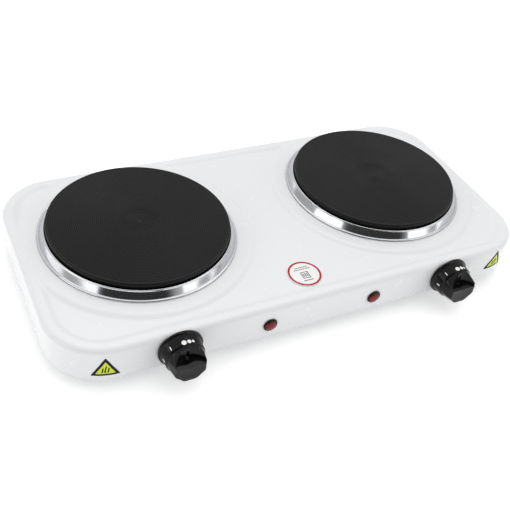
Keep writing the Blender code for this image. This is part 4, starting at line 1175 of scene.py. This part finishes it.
class HOTPLATE_OT_shell(bpy.types.Operator):
    """Models the enamelled shell."""

    bl_idname = "hotplate.shell"
    bl_label = "Shell"

    def execute(self, context):
        make_shell()
        return {"FINISHED"}


class HOTPLATE_OT_plates(bpy.types.Operator):
    """Models the cast-iron plates and their trim rings."""

    bl_idname = "hotplate.plates"
    bl_label = "Plates and rings"

    def execute(self, context):
        for side in SIDES:
            make_plate(side)
            make_ring(side)
        return {"FINISHED"}


class HOTPLATE_OT_knobs(bpy.types.Operator):
    """Models the knobs and their printed marks."""

    bl_idname = "hotplate.knobs"
    bl_label = "Knobs"

    def execute(self, context):
        material = black_phenolic()
        ink = printed_ink("white_print", colours().print_white)
        for side in SIDES:
            make_knob(side, material)
            make_knob_marks(side, ink)
        return {"FINISHED"}


class HOTPLATE_OT_lamps(bpy.types.Operator):
    """Models the pilot lamps."""

    bl_idname = "hotplate.lamps"
    bl_label = "Pilot lamps"

    def execute(self, context):
        rim = black_phenolic("lamp_rim_plastic", linear("#1a0306"), 0.18)
        lens = lens_red()
        for side in SIDES:
            make_lamp(side, rim, lens)
        return {"FINISHED"}


class HOTPLATE_OT_labels(bpy.types.Operator):
    """Models the round label and the corner labels."""

    bl_idname = "hotplate.labels"
    bl_label = "Labels"

    def execute(self, context):
        make_round_label()
        black = printed_ink("black_print", linear("#0a0a09"), 0.5)
        yellow = label_film("label_yellow", colours().yellow)
        for side, sign in SIDES.items():
            make_hot_label(side, sign, black, yellow)
        return {"FINISHED"}


class HOTPLATE_OT_feet(bpy.types.Operator):
    """Models the rubber feet, their screws and the cord bush."""

    bl_idname = "hotplate.feet"
    bl_label = "Feet and cord bush"

    def execute(self, context):
        rubber = black_rubber()
        zinc = zinc_plate()
        for name in sorted(NODES):
            if name.startswith("foot_screw_"):
                make_screw(name, zinc)
            elif name.startswith("foot_"):
                make_foot(name, rubber)
        make_bush(rubber)
        return {"FINISHED"}


class HOTPLATE_OT_inside(bpy.types.Operator):
    """Gives the base sheet and the pieces inside their finishes."""

    bl_idname = "hotplate.inside"
    bl_label = "Base and inside"

    def execute(self, context):
        pressed = [*nodes_named("corner_bracket_"), *nodes_named("heat_shield_")]
        dress(galvanised_steel(), "bottom_plate", *pressed)
        dress(brushed_label(), "rating_plate")
        dress(
            bpy.data.materials["zinc_plate"], *nodes_named("plate_stud_"), *nodes_named("stud_nut_"),
            *nodes_named("knob_shaft_"), *nodes_named("thermostat_screw_"),
        )
        dress(magnesia(), *nodes_named("heating_element_"))
        switches = [name for name in nodes_named("thermostat_") if "screw" not in name]
        dress(steatite(), "terminal_block", *nodes_named("ceramic_block_"), *switches)
        dress(brass(), "earth_stud")
        sleeve = braided_sleeve("glass_sleeve", "#d8cfbd", "#a99f8b", 1.6 * MM)
        leads = [name for name in NODES if name.split("_")[0] in ("live", "load", "neutral")]
        dress(sleeve, *leads, *nodes_named("lamp_lead_"))
        dress(braided_sleeve("earth_sleeve", "#3f8f2c", "#d9cf2e", 4 * MM), "earth_lead")
        return {"FINISHED"}


class HOTPLATE_OT_stage(bpy.types.Operator):
    """Makes the camera, the studio light and the floor."""

    bl_idname = "hotplate.stage"
    bl_label = "Stage"

    def execute(self, context):
        make_camera()
        make_world()
        make_floor()
        add_panel("panel_left", -81, 16, 1.7, 1.2, 0.6, 1.35)
        add_panel("panel_right", 44, 13, 1.7, 1.25, 0.5, 1.3)
        add_panel("panel_top", 150, 62, 2.2, 1.6, 1.2, 1.3)
        context.scene.view_settings.view_transform = "Standard"
        return {"FINISHED"}


class HOTPLATE_PT_panel(bpy.types.Panel):
    """Lists the sizes, the colours and the steps."""

    bl_idname = "HOTPLATE_PT_panel"
    bl_label = "Hot plate"
    bl_space_type = "VIEW_3D"
    bl_region_type = "UI"
    bl_category = "Hot plate"

    def draw(self, context):
        for group in (context.scene.hot_plate_sizes, context.scene.hot_plate_colours):
            column = self.layout.column(align=True)
            for name in group.__annotations__:
                column.prop(group, name)
        for step in STEPS:
            self.layout.operator(step.bl_idname)


STEPS = (
    HOTPLATE_OT_stage, HOTPLATE_OT_shell, HOTPLATE_OT_plates, HOTPLATE_OT_knobs, HOTPLATE_OT_lamps,
    HOTPLATE_OT_labels, HOTPLATE_OT_feet, HOTPLATE_OT_inside,
)
CLASSES = (HotPlateSizes, HotPlateColours, *STEPS, HOTPLATE_PT_panel)


def register():
    for cls in CLASSES:
        bpy.utils.register_class(cls)
    bpy.types.Scene.hot_plate_sizes = PointerProperty(type=HotPlateSizes)
    bpy.types.Scene.hot_plate_colours = PointerProperty(type=HotPlateColours)


def unregister():
    del bpy.types.Scene.hot_plate_colours
    del bpy.types.Scene.hot_plate_sizes
    for cls in reversed(CLASSES):
        bpy.utils.unregister_class(cls)


def main():
    register()
    for step in STEPS:
        group, name = step.bl_idname.split(".")
        getattr(getattr(bpy.ops, group), name)()


if __name__ == "__main__":
    main()
